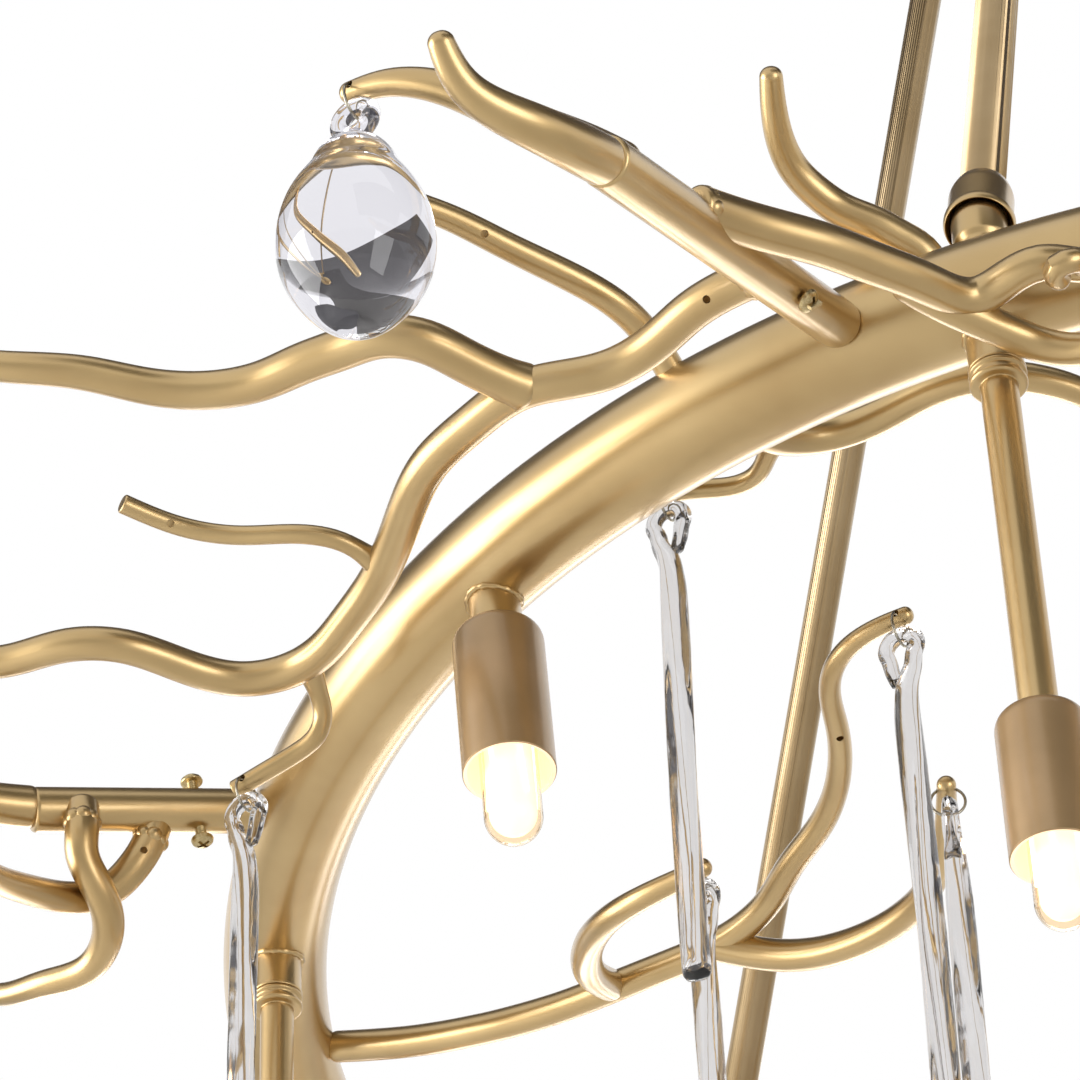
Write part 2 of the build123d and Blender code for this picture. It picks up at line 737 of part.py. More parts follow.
def sleeve_screw(frame, setback, stand, side):
    """A pan head screw with a cross recess, through one wall of a sleeve."""
    place = frame.from_local_coords(Vector(0, 0, ring_tube_radius + setback))
    seat = sleeve_radius + stand
    axis_frame = Plane(origin=place, x_dir=frame.z_dir, z_dir=frame.x_dir * side)
    with BuildPart() as screw:
        with BuildSketch(axis_frame.offset(screw_inner_end)):
            Circle(screw_radius)
        extrude(amount=seat - screw_inner_end)
        with BuildSketch(axis_frame.offset(seat)):
            Circle(screw_head_radius)
        extrude(amount=screw_head_height)
        top_edge = screw.edges().filter_by(GeomType.CIRCLE).sort_by(
            Axis(place, frame.x_dir * side))[-1]
        fillet(top_edge, screw_head_height / 2)
        with BuildSketch(axis_frame.offset(seat + screw_head_height - screw_recess_depth)):
            Rectangle(screw_recess_length, screw_recess_width)
            Rectangle(screw_recess_width, screw_recess_length)
        extrude(amount=screw_recess_depth, mode=Mode.SUBTRACT)
    return screw.part


# Sleeve screws
long_screws = [
    sleeve_screw(long_frame, long_screw_setback, long_screw_stand, side) for side in (-1, 1)
]
short_screws = [
    sleeve_screw(short_frame, short_screw_setback, short_screw_stand, side) for side in (-1, 1)
]
with BuildPart() as sleeve_screws:
    for heading in long_branch_headings_all:
        for screw in long_screws:
            add(turned(screw, heading))
    for heading in short_branch_headings_all:
        for screw in short_screws:
            add(turned(screw, heading))
sleeve_screws.part.label = "sleeve_screws"
export_step(sleeve_screws.part, "parts/sleeve_screws.step")


def disc_stack(frame, steps):
    """Round steps down a lamp's axis: (radius, top, bottom), measured down."""
    with BuildPart() as stack:
        for radius, top, bottom in steps:
            with BuildSketch(frame.offset(-bottom)):
                Circle(radius)
            extrude(amount=bottom - top)
    return stack.part


def lamp_cup(frame, cup_top, radius, height):
    with BuildPart() as cup:
        with BuildSketch(frame.offset(-cup_top - height)):
            Circle(radius)
        extrude(amount=height)
        fillet(cup.edges().sort_by(Axis(frame.origin, frame.z_dir))[-1], cup_shoulder)
        with BuildSketch(frame.offset(-cup_top - height)):
            Circle(radius - cup_wall)
        extrude(amount=height - cup_top_thickness, mode=Mode.SUBTRACT)
        with BuildSketch(frame.offset(-cup_top - cup_top_thickness - cutter_overrun)):
            Circle(nipple_radius + running_gap)
        extrude(amount=cup_top_thickness + 2 * cutter_overrun, mode=Mode.SUBTRACT)
    return cup.part


def lamp_socket(frame, cup_top, length):
    top = cup_top + cup_top_thickness
    bottom = top + length
    nipple_end = cup_top + nipple_length
    with BuildPart() as socket:
        with BuildSketch(frame.offset(-bottom)):
            Circle(socket_radius)
        extrude(amount=length)
        with BuildSketch(frame.offset(-bottom)):
            Circle(bulb_base_radius + running_gap)
        extrude(amount=socket_bore_depth, mode=Mode.SUBTRACT)
        with BuildSketch(frame.offset(-nipple_end - running_gap)):
            Circle(nipple_radius + running_gap)
        extrude(amount=nipple_end - top + running_gap, mode=Mode.SUBTRACT)
    return socket.part


def lamp_bulb(frame, socket_bottom, radius, length):
    """A tubular bulb: screw base in the socket, then the glass."""
    glass_top = socket_bottom + bulb_seat_gap
    away = frame.x_dir.cross(frame.z_dir)
    profile_frame = Plane(origin=frame.origin, x_dir=frame.x_dir, z_dir=away)
    with BuildPart() as bulb:
        with BuildSketch(profile_frame):
            with BuildLine():
                base = Polyline(
                    (0, -glass_top + bulb_base_length),
                    (bulb_base_radius, -glass_top + bulb_base_length),
                    (bulb_base_radius, -glass_top),
                    (radius, -glass_top - bulb_shoulder),
                    (radius, -glass_top - length + radius),
                )
                RadiusArc(base @ 1, (0, -glass_top - length), radius)
                Line((0, -glass_top - length), base @ 0)
            make_face()
        revolve(axis=Axis(frame.origin, frame.z_dir))
    return bulb.part


# Lamp necks, rods, cups, sockets and bulbs: each lamp's frame and the top of its cup
short_lamp = (lamp_frame(short_lamp_lean), neck_bottom)
long_lamp = (lamp_frame(0), long_cup_top)

short_cup = lamp_cup(*short_lamp, cup_radius, cup_height)
long_cup = lamp_cup(*long_lamp, long_cup_radius, long_cup_height)
short_socket = lamp_socket(*short_lamp, socket_length)
long_socket = lamp_socket(*long_lamp, long_socket_length)
short_bulb = lamp_bulb(
    short_lamp[0], neck_bottom + cup_top_thickness + socket_length, bulb_radius, bulb_length)
long_bulb = lamp_bulb(
    long_lamp[0], long_cup_top + cup_top_thickness + long_socket_length,
    long_bulb_radius, long_bulb_length)

lamps = []
for heading in sector_headings(short_lamp_headings):
    lamps.append((heading, short_lamp[0], short_cup, short_socket, short_bulb))
for heading in sector_headings(long_lamp_headings):
    lamps.append((heading, long_lamp[0], long_cup, long_socket, long_bulb))

with BuildPart() as lamp_necks:
    for heading, frame, cup, socket, bulb in lamps:
        steps = [(neck_radius, 0, neck_bottom), (nipple_radius, 0, neck_bottom + nipple_length)]
        add(turned(disc_stack(frame, steps), heading))
    add(ring_core, mode=Mode.SUBTRACT)
lamp_necks.part.label = "lamp_necks"
export_step(lamp_necks.part, "parts/lamp_necks.step")

with BuildPart() as lamp_rods:
    coupling_bottom = neck_bottom + coupling_height
    for heading in sector_headings(long_lamp_headings):
        frame = lamp_frame(0)
        steps = [
            (coupling_radius, neck_bottom, neck_bottom + coupling_rim_height),
            (coupling_step_radius, neck_bottom, coupling_bottom),
            (coupling_radius, coupling_bottom - coupling_rim_height, coupling_bottom),
            (lamp_rod_radius, neck_bottom, long_cup_top),
            (nipple_radius, neck_bottom, long_cup_top + nipple_length),
        ]
        bore = [(nipple_radius + running_gap, neck_bottom - cutter_overrun,
                 neck_bottom + nipple_length + running_gap)]
        add(turned(disc_stack(frame, steps), heading))
        add(turned(disc_stack(frame, bore), heading), mode=Mode.SUBTRACT)
lamp_rods.part.label = "lamp_rods"
export_step(lamp_rods.part, "parts/lamp_rods.step")

with BuildPart() as lamp_cups:
    for heading, frame, cup, socket, bulb in lamps:
        add(turned(cup, heading))
lamp_cups.part.label = "lamp_cups"
export_step(lamp_cups.part, "parts/lamp_cups.step")

with BuildPart() as lamp_sockets:
    for heading, frame, cup, socket, bulb in lamps:
        add(turned(socket, heading))
lamp_sockets.part.label = "lamp_sockets"
export_step(lamp_sockets.part, "parts/lamp_sockets.step")

with BuildPart() as bulbs:
    for heading, frame, cup, socket, bulb in lamps:
        add(turned(bulb, heading))
bulbs.part.label = "bulbs"
export_step(bulbs.part, "parts/bulbs.step")


def wire_ring(place, level):
    """A wire ring through a twig's hole, standing in the line of the hole."""
    centre = place + Vector(0, 0, wire_lift - wire_ring_radius)
    frame = Plane(origin=centre, x_dir=level, z_dir=level.cross(Vector(0, 0, 1)))
    with BuildPart() as ring:
        with Locations(frame):
            Torus(wire_ring_radius, wire_radius)
    return ring.part


def pivot_place(place):
    """The lowest point of a wire ring's line, which its drop swings about."""
    return place + Vector(0, 0, wire_lift - 2 * wire_ring_radius)


def loop_frame(place, level):
    """The frame of a drop at the middle of its loop: X across the hole, Z along it."""
    slack = loop_radius - loop_tube_radius - wire_radius - running_gap
    centre = pivot_place(place) - Vector(0, 0, slack)
    return Plane(origin=centre, x_dir=Vector(0, 0, 1).cross(level), z_dir=level)


def glass_rod(length):
    """A glass rod with a loop at the origin, hanging along -Y, thicker below."""
    with BuildPart() as drop:
        Torus(loop_radius, loop_tube_radius)
        with BuildSketch(Plane.XY):
            with BuildLine():
                Polyline(
                    (0, -loop_radius),
                    (loop_tube_radius, -loop_radius),
                    (drop_radius, -loop_radius - drop_shoulder),
                    (drop_radius, -length + drop_end),
                    (drop_radius - drop_end, -length),
                    (0, -length),
                    (0, -loop_radius),
                )
            make_face()
        revolve(axis=Axis.Y)
    return drop.part


def glass_egg():
    """A glass egg with a loop at the origin, hanging along -Y, widest below its middle."""
    outline = [
        (egg_radius * across, -loop_radius - egg_height * down)
        for across, down in egg_outline_shares
    ]
    with BuildPart() as drop:
        Torus(loop_radius, loop_tube_radius)
        with BuildSketch(Plane.XY):
            with BuildLine():
                neck = Polyline(
                    (0, -loop_radius),
                    (loop_tube_radius, -loop_radius),
                    (loop_tube_radius, -loop_radius - egg_neck),
                )
                Spline(neck @ 1, *outline, tangents=((1, -1), (-1, 0)))
                Line(outline[-1], neck @ 0)
            make_face()
        revolve(axis=Axis.Y)
    return drop.part


# Glass drops in the first sector: heading, twig and length, the egg without a length
hung = [
    (long_branch_heading, drop_twig_shares, drop_length),
    (long_branch_heading, inner_twig_shares, drop_length),
    (rising_limb_heading, rising_limb_shares, drop_length),
    (rising_limb_heading, rising_far_twig_shares, short_drop_length),
    (rising_limb_heading, rising_near_twig_shares, short_drop_length),
]
for heading in short_branch_headings:
    hung.append((heading, under_twig_shares, short_drop_length))

drop_number = 0
rings = []
for heading, shares, length in hung:
    place, level = twig_hole(shares)
    ring = wire_ring(place, level)
    drop = glass_rod(length).moved(loop_frame(place, level).location)
    for sector in range(sector_count):
        drop_number += 1
        name = f"glass_rod_{drop_number}"
        rings.append(turned(ring, heading + sector * sector_angle))
        with BuildPart() as glass_drop:
            add(turned(drop, heading + sector * sector_angle))
        glass_drop.part.label = name
        export_step(glass_drop.part, f"parts/{name}.step")

egg_place, egg_level = twig_hole(egg_twig_shares)
egg_ring = wire_ring(egg_place, egg_level)
egg = glass_egg().moved(loop_frame(egg_place, egg_level).location)
for number, heading in enumerate(long_branch_headings_all, 1):
    name = f"glass_egg_{number}"
    rings.append(turned(egg_ring, heading))
    with BuildPart() as glass_drop:
        add(turned(egg, heading))
    glass_drop.part.label = name
    export_step(glass_drop.part, f"parts/{name}.step")

with BuildPart() as wire_rings:
    add(rings)
wire_rings.part.label = "wire_rings"
export_step(wire_rings.part, "parts/wire_rings.step")
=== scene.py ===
import json
import math

import bmesh
import bpy
import numpy as np
from mathutils import Matrix, Vector


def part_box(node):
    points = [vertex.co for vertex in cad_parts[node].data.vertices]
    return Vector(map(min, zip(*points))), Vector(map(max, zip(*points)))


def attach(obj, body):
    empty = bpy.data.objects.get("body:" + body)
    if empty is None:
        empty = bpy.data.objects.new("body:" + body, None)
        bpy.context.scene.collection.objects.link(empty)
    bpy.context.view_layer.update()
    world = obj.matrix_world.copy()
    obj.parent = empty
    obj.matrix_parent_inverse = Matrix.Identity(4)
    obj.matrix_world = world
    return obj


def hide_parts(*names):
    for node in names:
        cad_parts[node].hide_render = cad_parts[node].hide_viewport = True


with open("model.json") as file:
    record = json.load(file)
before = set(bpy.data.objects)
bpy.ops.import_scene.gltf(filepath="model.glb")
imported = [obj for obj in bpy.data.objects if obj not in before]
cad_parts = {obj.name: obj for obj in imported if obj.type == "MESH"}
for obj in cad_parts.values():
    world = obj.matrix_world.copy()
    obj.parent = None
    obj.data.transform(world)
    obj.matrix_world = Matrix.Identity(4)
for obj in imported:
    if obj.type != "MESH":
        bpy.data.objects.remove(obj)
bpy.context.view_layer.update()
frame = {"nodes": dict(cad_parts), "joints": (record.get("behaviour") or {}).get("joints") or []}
nodes = frame["nodes"]
print("frame loaded,", len(nodes), "nodes")

mm = 0.001
sectors = [0, 120, 240]

# Sizes in millimetres, headings in degrees about the chandelier's upright axis
ring = {"radius": 400, "tube": 19, "turns": 420, "sides": 72}
lamps = {"neckLength": 33, "neck": 8.75, "rod": 6.0, "coupling": 9.2}
lampKinds = {
    "short": {"headings": [-119, -179], "lean": 4, "top": 33, "cup": 15.25, "height": 60,
              "holder": 30, "bulb": 9.5, "glass": 56},
    "long": {"headings": [-90, -150], "lean": 0, "top": 170, "cup": 13.9, "height": 51,
             "holder": 25, "bulb": 8.3, "glass": 48},
}
ringHeight = (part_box("lamp_cups")[0].z / mm + lampKinds["long"]["top"]
              + lampKinds["long"]["height"])
headings = {"rod": -90, "long": -96.2, "short": [-140.4, -178.5], "rising": -140.7}
longHeadings = [headings["long"] + s for s in sectors]
shortHeadings = [h + s for s in sectors for h in headings["short"]]
rodHeadings = [headings["rod"] + s for s in sectors]
tilts = {"long": 21.2, "short": 9.8}
# the way from the chandelier to the camera, for drilled holes and welds that face it
towardsCamera = Vector((0.288, -0.701, -0.653))


def turnedBy(angle):
    return Matrix.Rotation(math.radians(angle), 4, "Z")


def aimed(place, way, axis="Z"):
    # a frame at a place, with that axis along the way
    return Matrix.Translation(place) @ way.to_track_quat(axis, "Y").to_matrix().to_4x4()


def linear(hexColour):
    # sRGB hex to the linear colour that the shaders take
    channels = [int(hexColour[i:i + 2], 16) / 255 for i in (1, 3, 5)]
    return [c / 12.92 if c <= 0.04045 else ((c + 0.055) / 1.055) ** 2.4 for c in channels] + [1]


def addNode(tree, kind, inputs=None, ramp=(), **settings):
    # a node with its settings, its values, its links and its colour ramp
    node = tree.nodes.new(kind)
    for element, (position, colour) in zip(node.color_ramp.elements if ramp else (), ramp):
        element.position, element.color = position, linear(colour)
    for key, value in settings.items():
        setattr(node, key, value)
    for key, value in (inputs or {}).items():
        if isinstance(value, bpy.types.NodeSocket):
            tree.links.new(value, node.inputs[key])
        else:
            node.inputs[key].default_value = value
    return node


# Materials

def newMaterial(name):
    material = bpy.data.materials.new(name)
    material.use_nodes = True
    material.node_tree.nodes.clear()
    return material, material.node_tree


def shadeWith(tree, shader):
    addNode(tree, "ShaderNodeOutputMaterial", {"Surface": shader.outputs["BSDF"]})


def satinPaint(name, light, deep, roughness, grain, flake, metal=1.0, paintedGlow=0.0):
    # Sprayed metallic lacquer over steel: fine flake that sparkles under a satin clear,
    # with cloudy tone changes where the spray overlapped.
    material, tree = newMaterial(name)
    where = addNode(tree, "ShaderNodeTexCoord").outputs["Object"]
    clouds = addNode(tree, "ShaderNodeTexNoise", {
        "Vector": where, "Scale": 1 / (grain["clouds"] * mm), "Detail": 3, "Roughness": 0.5})
    tone = addNode(tree, "ShaderNodeValToRGB", {"Fac": clouds.outputs["Fac"]},
                   ramp=((0.3, deep), (0.7, light)))
    # the flake is about 0.05 mm, drawn coarser so that it shows
    specks = addNode(tree, "ShaderNodeTexNoise", {
        "Vector": where, "Scale": 1 / (grain["flake"] * mm), "Detail": 2, "Roughness": 0.6})
    rough = addNode(tree, "ShaderNodeMapRange", {
        "Value": specks.outputs["Fac"], "From Min": 0.3, "From Max": 0.7,
        "To Min": roughness - 0.03, "To Max": roughness + 0.03})
    bump = addNode(tree, "ShaderNodeBump", {
        "Height": specks.outputs["Fac"], "Strength": flake, "Distance": 0.02 * mm})
    shader = addNode(tree, "ShaderNodeBsdfPrincipled", {
        "Base Color": tone.outputs["Color"], "Roughness": rough.outputs["Result"],
        "Normal": bump.outputs["Normal"], "Metallic": metal,
        # the emission is a painted glow, warm lamplight painted into the paint; it is off unless a
        # strength is given
        "Emission Color": linear("#ffe0bc"), "Emission Strength": paintedGlow,
        "Coat Weight": 0.9, "Coat Roughness": 0.22})
    shadeWith(tree, shader)
    return material


def brushedMetal(name, light, deep, roughness, line):
    # Plated or drawn metal: fine lines from the drawing, a little darker between them.
    material, tree = newMaterial(name)
    where = addNode(tree, "ShaderNodeTexCoord").outputs["Object"]
    drawn = addNode(tree, "ShaderNodeMapping", {"Vector": where, "Scale": (1, 1, 0.04)})
    lines = addNode(tree, "ShaderNodeTexNoise", {
        "Vector": drawn.outputs["Vector"], "Scale": 1 / (line * mm), "Detail": 4})
    tone = addNode(tree, "ShaderNodeValToRGB", {"Fac": lines.outputs["Fac"]},
                   ramp=((0.35, deep), (0.65, light)))
    bump = addNode(tree, "ShaderNodeBump", {
        "Height": lines.outputs["Fac"], "Strength": 0.25, "Distance": 0.02 * mm})
    shader = addNode(tree, "ShaderNodeBsdfPrincipled", {
        "Base Color": tone.outputs["Color"], "Roughness": roughness,
        "Normal": bump.outputs["Normal"], "Metallic": 1.0})
    shadeWith(tree, shader)
    return material


def clearGlass(name, tint, roughness, ripple, ior=1.5):
    # Clear soda glass drawn by hand: bright edges, with faint drawing lines in it.
    material, tree = newMaterial(name)
    where = addNode(tree, "ShaderNodeTexCoord").outputs["Object"]
    drawn = addNode(tree, "ShaderNodeMapping", {"Vector": where, "Scale": (1, 1, 0.15)})
    lines = addNode(tree, "ShaderNodeTexNoise", {
        "Vector": drawn.outputs["Vector"], "Scale": 1 / (ripple["size"] * mm), "Detail": 2})
    bump = addNode(tree, "ShaderNodeBump", {
        "Height": lines.outputs["Fac"], "Strength": ripple["strength"],
        "Distance": 0.2 * mm})
    shader = addNode(tree, "ShaderNodeBsdfPrincipled", {
        "Base Color": linear(tint), "Roughness": roughness, "IOR": ior,
        "Transmission Weight": 1.0, "Normal": bump.outputs["Normal"]})
    shadeWith(tree, shader)
    return material


def mouldedPlastic(name, light, deep, roughness):
    # Phenolic lampholder: a dull moulded skin with a fine pebbled grain.
    material, tree = newMaterial(name)
    where = addNode(tree, "ShaderNodeTexCoord").outputs["Object"]
    pebbles = addNode(tree, "ShaderNodeTexNoise", {
        "Vector": where, "Scale": 1 / (1.2 * mm), "Detail": 3})
    tone = addNode(tree, "ShaderNodeValToRGB", {"Fac": pebbles.outputs["Fac"]},
                   ramp=((0, deep), (1, light)))
    bump = addNode(tree, "ShaderNodeBump", {
        "Height": pebbles.outputs["Fac"], "Strength": 0.2, "Distance": 0.05 * mm})
    shader = addNode(tree, "ShaderNodeBsdfPrincipled", {
        "Base Color": tone.outputs["Color"], "Roughness": roughness, "IOR": 1.5,
        "Normal": bump.outputs["Normal"]})
    shadeWith(tree, shader)
    return material


def glowing(name, heart, edge, strength):
    # The lit lamp's glow: white hot where it faces the eye, warmer towards its edges.
    material, tree = newMaterial(name)
    facing = addNode(tree, "ShaderNodeLayerWeight", {"Blend": 0.5}).outputs["Facing"]
    tone = addNode(tree, "ShaderNodeValToRGB", {"Fac": facing}, ramp=((0.35, heart), (1, edge)))
    shader = addNode(tree, "ShaderNodeBsdfPrincipled", {
        "Base Color": linear(edge), "Roughness": 0.4,
        "Emission Color": tone.outputs["Color"], "Emission Strength": strength})
    shadeWith(tree, shader)
    return material


goldGrain = {"clouds": 45, "flake": 0.7}
goldPaint, canopyPaint = [satinPaint(name, "#caad78", "#ba9b66", 0.34, goldGrain, 0.03)
                          for name in ("satinGoldLacquer", "canopyLacquer")]
cupPaint = satinPaint("cupLacquer", "#b5956b", "#a2855c", 0.46, {"clouds": 30, "flake": 0.4},
                      0.1, 0.85)
# the cup's inside: cream enamel, with a painted glow standing in for the light its bulb throws on
# it
paintedGlowCupEnamel = satinPaint("cupInsideEnamel", "#fdeed6", "#f8e0be", 0.5, goldGrain, 0.03, 0.0, 0.5)
rodMetal = satinPaint("rodLacquer", "#b59c74", "#a68c62", 0.36, goldGrain, 0.03)
zincPlate = brushedMetal("zincPlate", "#b9bbbd", "#9fa2a5", 0.4, 0.6)
screwBrass = brushedMetal("platedBrass", "#cdb98e", "#b49f70", 0.32, 0.5)
ringWire = brushedMetal("drawnWire", "#b8b2a4", "#8e887a", 0.25, 0.4)
holderPlastic = mouldedPlastic("phenolicHolder", "#ece4d4", "#ddd2bd", 0.55)
dropGlass = clearGlass("drawnGlass", "#dfdddd", 0.06, {"size": 2.2, "strength": 0.3})
eggGlass = clearGlass("castGlass", "#e9e8ee", 0.0, {"size": 18, "strength": 0.08})
bulbGlass = clearGlass("bulbGlass", "#fff1dc", 0.03, {"size": 8, "strength": 0.1}, 1.12)
lampGlow = glowing("lampGlow", "#fff6e4", "#ffe0b8", 1.25)
wickGlow = glowing("wickGlow", "#fff0d0", "#ffc98a", 4)
print("materials made")


# Mesh helpers, all in millimetres until a piece is finished

def lengthsAlong(line):
    return np.concatenate([[0], np.cumsum(np.linalg.norm(np.diff(line, axis=0), axis=1))])


def smoothLine(places, step):
    # a natural cubic curve through the places, read off at every step
    points = np.array(places, float)
    gap = np.diff(lengthsAlong(points))
    count = len(points)
    system = np.eye(count)
    pull = np.zeros((count, 3))
    for i in range(1, count - 1):
        system[i, i - 1:i + 2] = gap[i - 1], 2 * (gap[i - 1] + gap[i]), gap[i]
        pull[i] = 6 * ((points[i + 1] - points[i]) / gap[i]
                       - (points[i] - points[i - 1]) / gap[i - 1])
    bend = np.linalg.solve(system, pull)
    found = []
    for i in range(count - 1):
        steps = max(2, round(gap[i] / step))
        for k in range(steps + (i == count - 2)):
            t = gap[i] * k / steps
            slope = ((points[i + 1] - points[i]) / gap[i]
                     - gap[i] * (2 * bend[i] + bend[i + 1]) / 6)
            found.append(points[i] + slope * t + bend[i] * t ** 2 / 2
                         + (bend[i + 1] - bend[i]) * t ** 3 / (6 * gap[i]))
    return np.array(found)


def placeAlong(line, distance):
    # the point at a distance along the line, and the line's direction there
    at = lengthsAlong(line)
    distance = min(max(distance, 0), at[-1] - 0.01)
    i = int(np.searchsorted(at, distance, side="right")) - 1
    way = (line[i + 1] - line[i]) / (at[i + 1] - at[i])
    return Vector(line[i] + way * (distance - at[i])), Vector(way)


def circleLine(radius, count, height=0):
    return [(radius * math.cos(a), radius * math.sin(a), height)
            for a in (2 * math.pi * i / count for i in range(count))]


def quarterRound(radius, height, steps, way):
    # profile points from a barrel's side up or down to its pole
    return [(radius * math.cos(a), height + way * radius * math.sin(a))
            for a in (math.pi / 2 * k / steps for k in range(1, steps + 1))]


def meshFrom(bm, name):
    mesh = bpy.data.meshes.new(name)
    bm.to_mesh(mesh)
    bm.free()
    return mesh


def standing(name, data):
    # a new object in the scene, at the origin
    thing = bpy.data.objects.new(name, data)
    bpy.context.scene.collection.objects.link(thing)
    return thing


def settledMesh(thing):
    # the object's mesh with its modifiers worked in
    graph = bpy.context.evaluated_depsgraph_get()
    return bpy.data.meshes.new_from_object(thing.evaluated_get(graph))


def takeAway(solid, tools):
    # cuts the tools out of the solid, keeps its mesh and clears the objects
    for tool in tools:
        cut = solid.modifiers.new("cut", "BOOLEAN")
        cut.operation, cut.solver, cut.object = "DIFFERENCE", "EXACT", tool
    made = settledMesh(solid)
    for thing in tools + [solid]:
        bpy.data.objects.remove(thing)
    return made


def liveOutput(node):
    # the output of the data type that the node is set to
    return next(out for out in node.outputs if out.enabled)


def newTree(name, sockets):
    tree = bpy.data.node_groups.new(name, "GeometryNodeTree")
    for label, kind in sockets.items():
        tree.interface.new_socket(label, in_out="INPUT", socket_type=kind)
    tree.interface.new_socket("Geometry", in_out="OUTPUT", socket_type="NodeSocketGeometry")
    return tree, tree.nodes.new("NodeGroupInput").outputs


def closeTree(tree, geometry, material):
    solid = addNode(tree, "GeometryNodeRealizeInstances", {"Geometry": geometry})
    painted = addNode(tree, "GeometryNodeSetMaterial", {
        "Geometry": solid.outputs["Geometry"], "Material": material})
    ends = tree.nodes.new("NodeGroupOutput")
    tree.links.new(painted.outputs["Geometry"], ends.inputs["Geometry"])


def grown(tree, points, values, edges=(), **attributes):
    # runs a tree on points, with its inputs set by identifier, and keeps the mesh
    seed = bpy.data.meshes.new(tree.name + "Seed")
    seed.from_pydata([tuple(p) for p in points], edges, [])
    for label, data in attributes.items():
        kind = "FLOAT_VECTOR" if np.ndim(data) == 2 else "FLOAT"
        layer = seed.attributes.new(label, kind, "POINT")
        layer.data.foreach_set("vector" if kind == "FLOAT_VECTOR" else "value",
                               np.array(data, np.float32).ravel())
    carrier = standing(tree.name + "Carrier", seed)
    modifier = carrier.modifiers.new(tree.name, "NODES")
    modifier.node_group = tree
    for item in tree.interface.items_tree:
        if item.in_out == "INPUT" and item.name in values:
            modifier[item.identifier] = values[item.name]
    mesh = settledMesh(carrier)
    bpy.data.objects.remove(carrier)
    bpy.data.meshes.remove(seed)
    return mesh


def buildTubeTree():
    # a tube along the seed's edges: its width from the points, its section lobed or round
    tree, given = newTree("drawnTube", {
        "Geometry": "NodeSocketGeometry", "Sides": "NodeSocketInt",
        "Lobes": "NodeSocketFloat", "Lobe Depth": "NodeSocketFloat",
        "Wave": "NodeSocketFloat", "Wave Size": "NodeSocketFloat",
        "Material": "NodeSocketMaterial"})
    circle = addNode(tree, "GeometryNodeCurvePrimitiveCircle", {
        "Resolution": given["Sides"], "Radius": 1.0})
    spot = addNode(tree, "GeometryNodeInputPosition").outputs["Position"]
    apart = addNode(tree, "ShaderNodeSeparateXYZ", {"Vector": spot})
    angle = addNode(tree, "ShaderNodeMath", {0: apart.outputs["Y"], 1: apart.outputs["X"]},
                    operation="ARCTAN2")
    lobes = addNode(tree, "ShaderNodeMath", {0: angle.outputs[0], 1: given["Lobes"]},
                    operation="MULTIPLY")
    crest = addNode(tree, "ShaderNodeMath", {0: lobes.outputs[0]}, operation="COSINE")
    swell = addNode(tree, "ShaderNodeMath", {0: crest.outputs[0], 1: given["Lobe Depth"]},
                    operation="MULTIPLY")
    shift = addNode(tree, "ShaderNodeVectorMath", {0: spot, "Scale": swell.outputs[0]},
                    operation="SCALE")
    section = addNode(tree, "GeometryNodeSetPosition", {
        "Geometry": circle.outputs["Curve"], "Offset": shift.outputs["Vector"]})
    line = addNode(tree, "GeometryNodeMeshToCurve", {"Mesh": given["Geometry"]})
    twist = addNode(tree, "GeometryNodeInputNamedAttribute", {"Name": "twist"})
    leant = addNode(tree, "GeometryNodeSetCurveTilt", {
        "Curve": line.outputs["Curve"], "Tilt": twist.outputs["Attribute"]})
    width = addNode(tree, "GeometryNodeInputNamedAttribute", {"Name": "width"})
    tube = addNode(tree, "GeometryNodeCurveToMesh", {
        "Curve": leant.outputs["Curve"], "Profile Curve": section.outputs["Geometry"],
        "Scale": width.outputs["Attribute"], "Fill Caps": True})
    hills = addNode(tree, "ShaderNodeTexNoise", {"Scale": given["Wave Size"], "Detail": 1.0})
    middle = addNode(tree, "ShaderNodeMath", {0: hills.outputs["Fac"], 1: 0.5},
                     operation="SUBTRACT")
    height = addNode(tree, "ShaderNodeMath", {0: middle.outputs[0], 1: given["Wave"]},
                     operation="MULTIPLY")
    out = addNode(tree, "GeometryNodeInputNormal").outputs["Normal"]
    lift = addNode(tree, "ShaderNodeVectorMath", {0: out, "Scale": height.outputs[0]},
                   operation="SCALE")
    waved = addNode(tree, "GeometryNodeSetPosition", {
        "Geometry": tube.outputs["Mesh"], "Offset": lift.outputs["Vector"]})
    closeTree(tree, waved.outputs["Geometry"], given["Material"])
    return tree


def buildBeadTree():
    # weld beads: a lump of random size and turn on every point
    tree, given = newTree("weldBeads", {
        "Geometry": "NodeSocketGeometry", "Smallest": "NodeSocketFloat",
        "Largest": "NodeSocketFloat", "Seed": "NodeSocketInt",
        "Material": "NodeSocketMaterial"})
    lump = addNode(tree, "GeometryNodeMeshUVSphere", {"Segments": 16, "Rings": 10, "Radius": 1.0})
    size = addNode(tree, "FunctionNodeRandomValue", {
        "Min": given["Smallest"], "Max": given["Largest"], "Seed": given["Seed"]},
        data_type="FLOAT")
    spin = addNode(tree, "FunctionNodeRandomValue", {
        0: (-1.2, -1.2, -1.2), 1: (1.2, 1.2, 1.2), "Seed": given["Seed"]},
        data_type="FLOAT_VECTOR")
    sizes = liveOutput(size)
    evenly = addNode(tree, "ShaderNodeCombineXYZ", {"X": sizes, "Y": sizes, "Z": sizes})
    placed = addNode(tree, "GeometryNodeInstanceOnPoints", {
        "Points": given["Geometry"], "Instance": lump.outputs["Mesh"],
        "Rotation": liveOutput(spin), "Scale": evenly.outputs["Vector"]})
    closeTree(tree, placed.outputs["Instances"], given["Material"])
    return tree


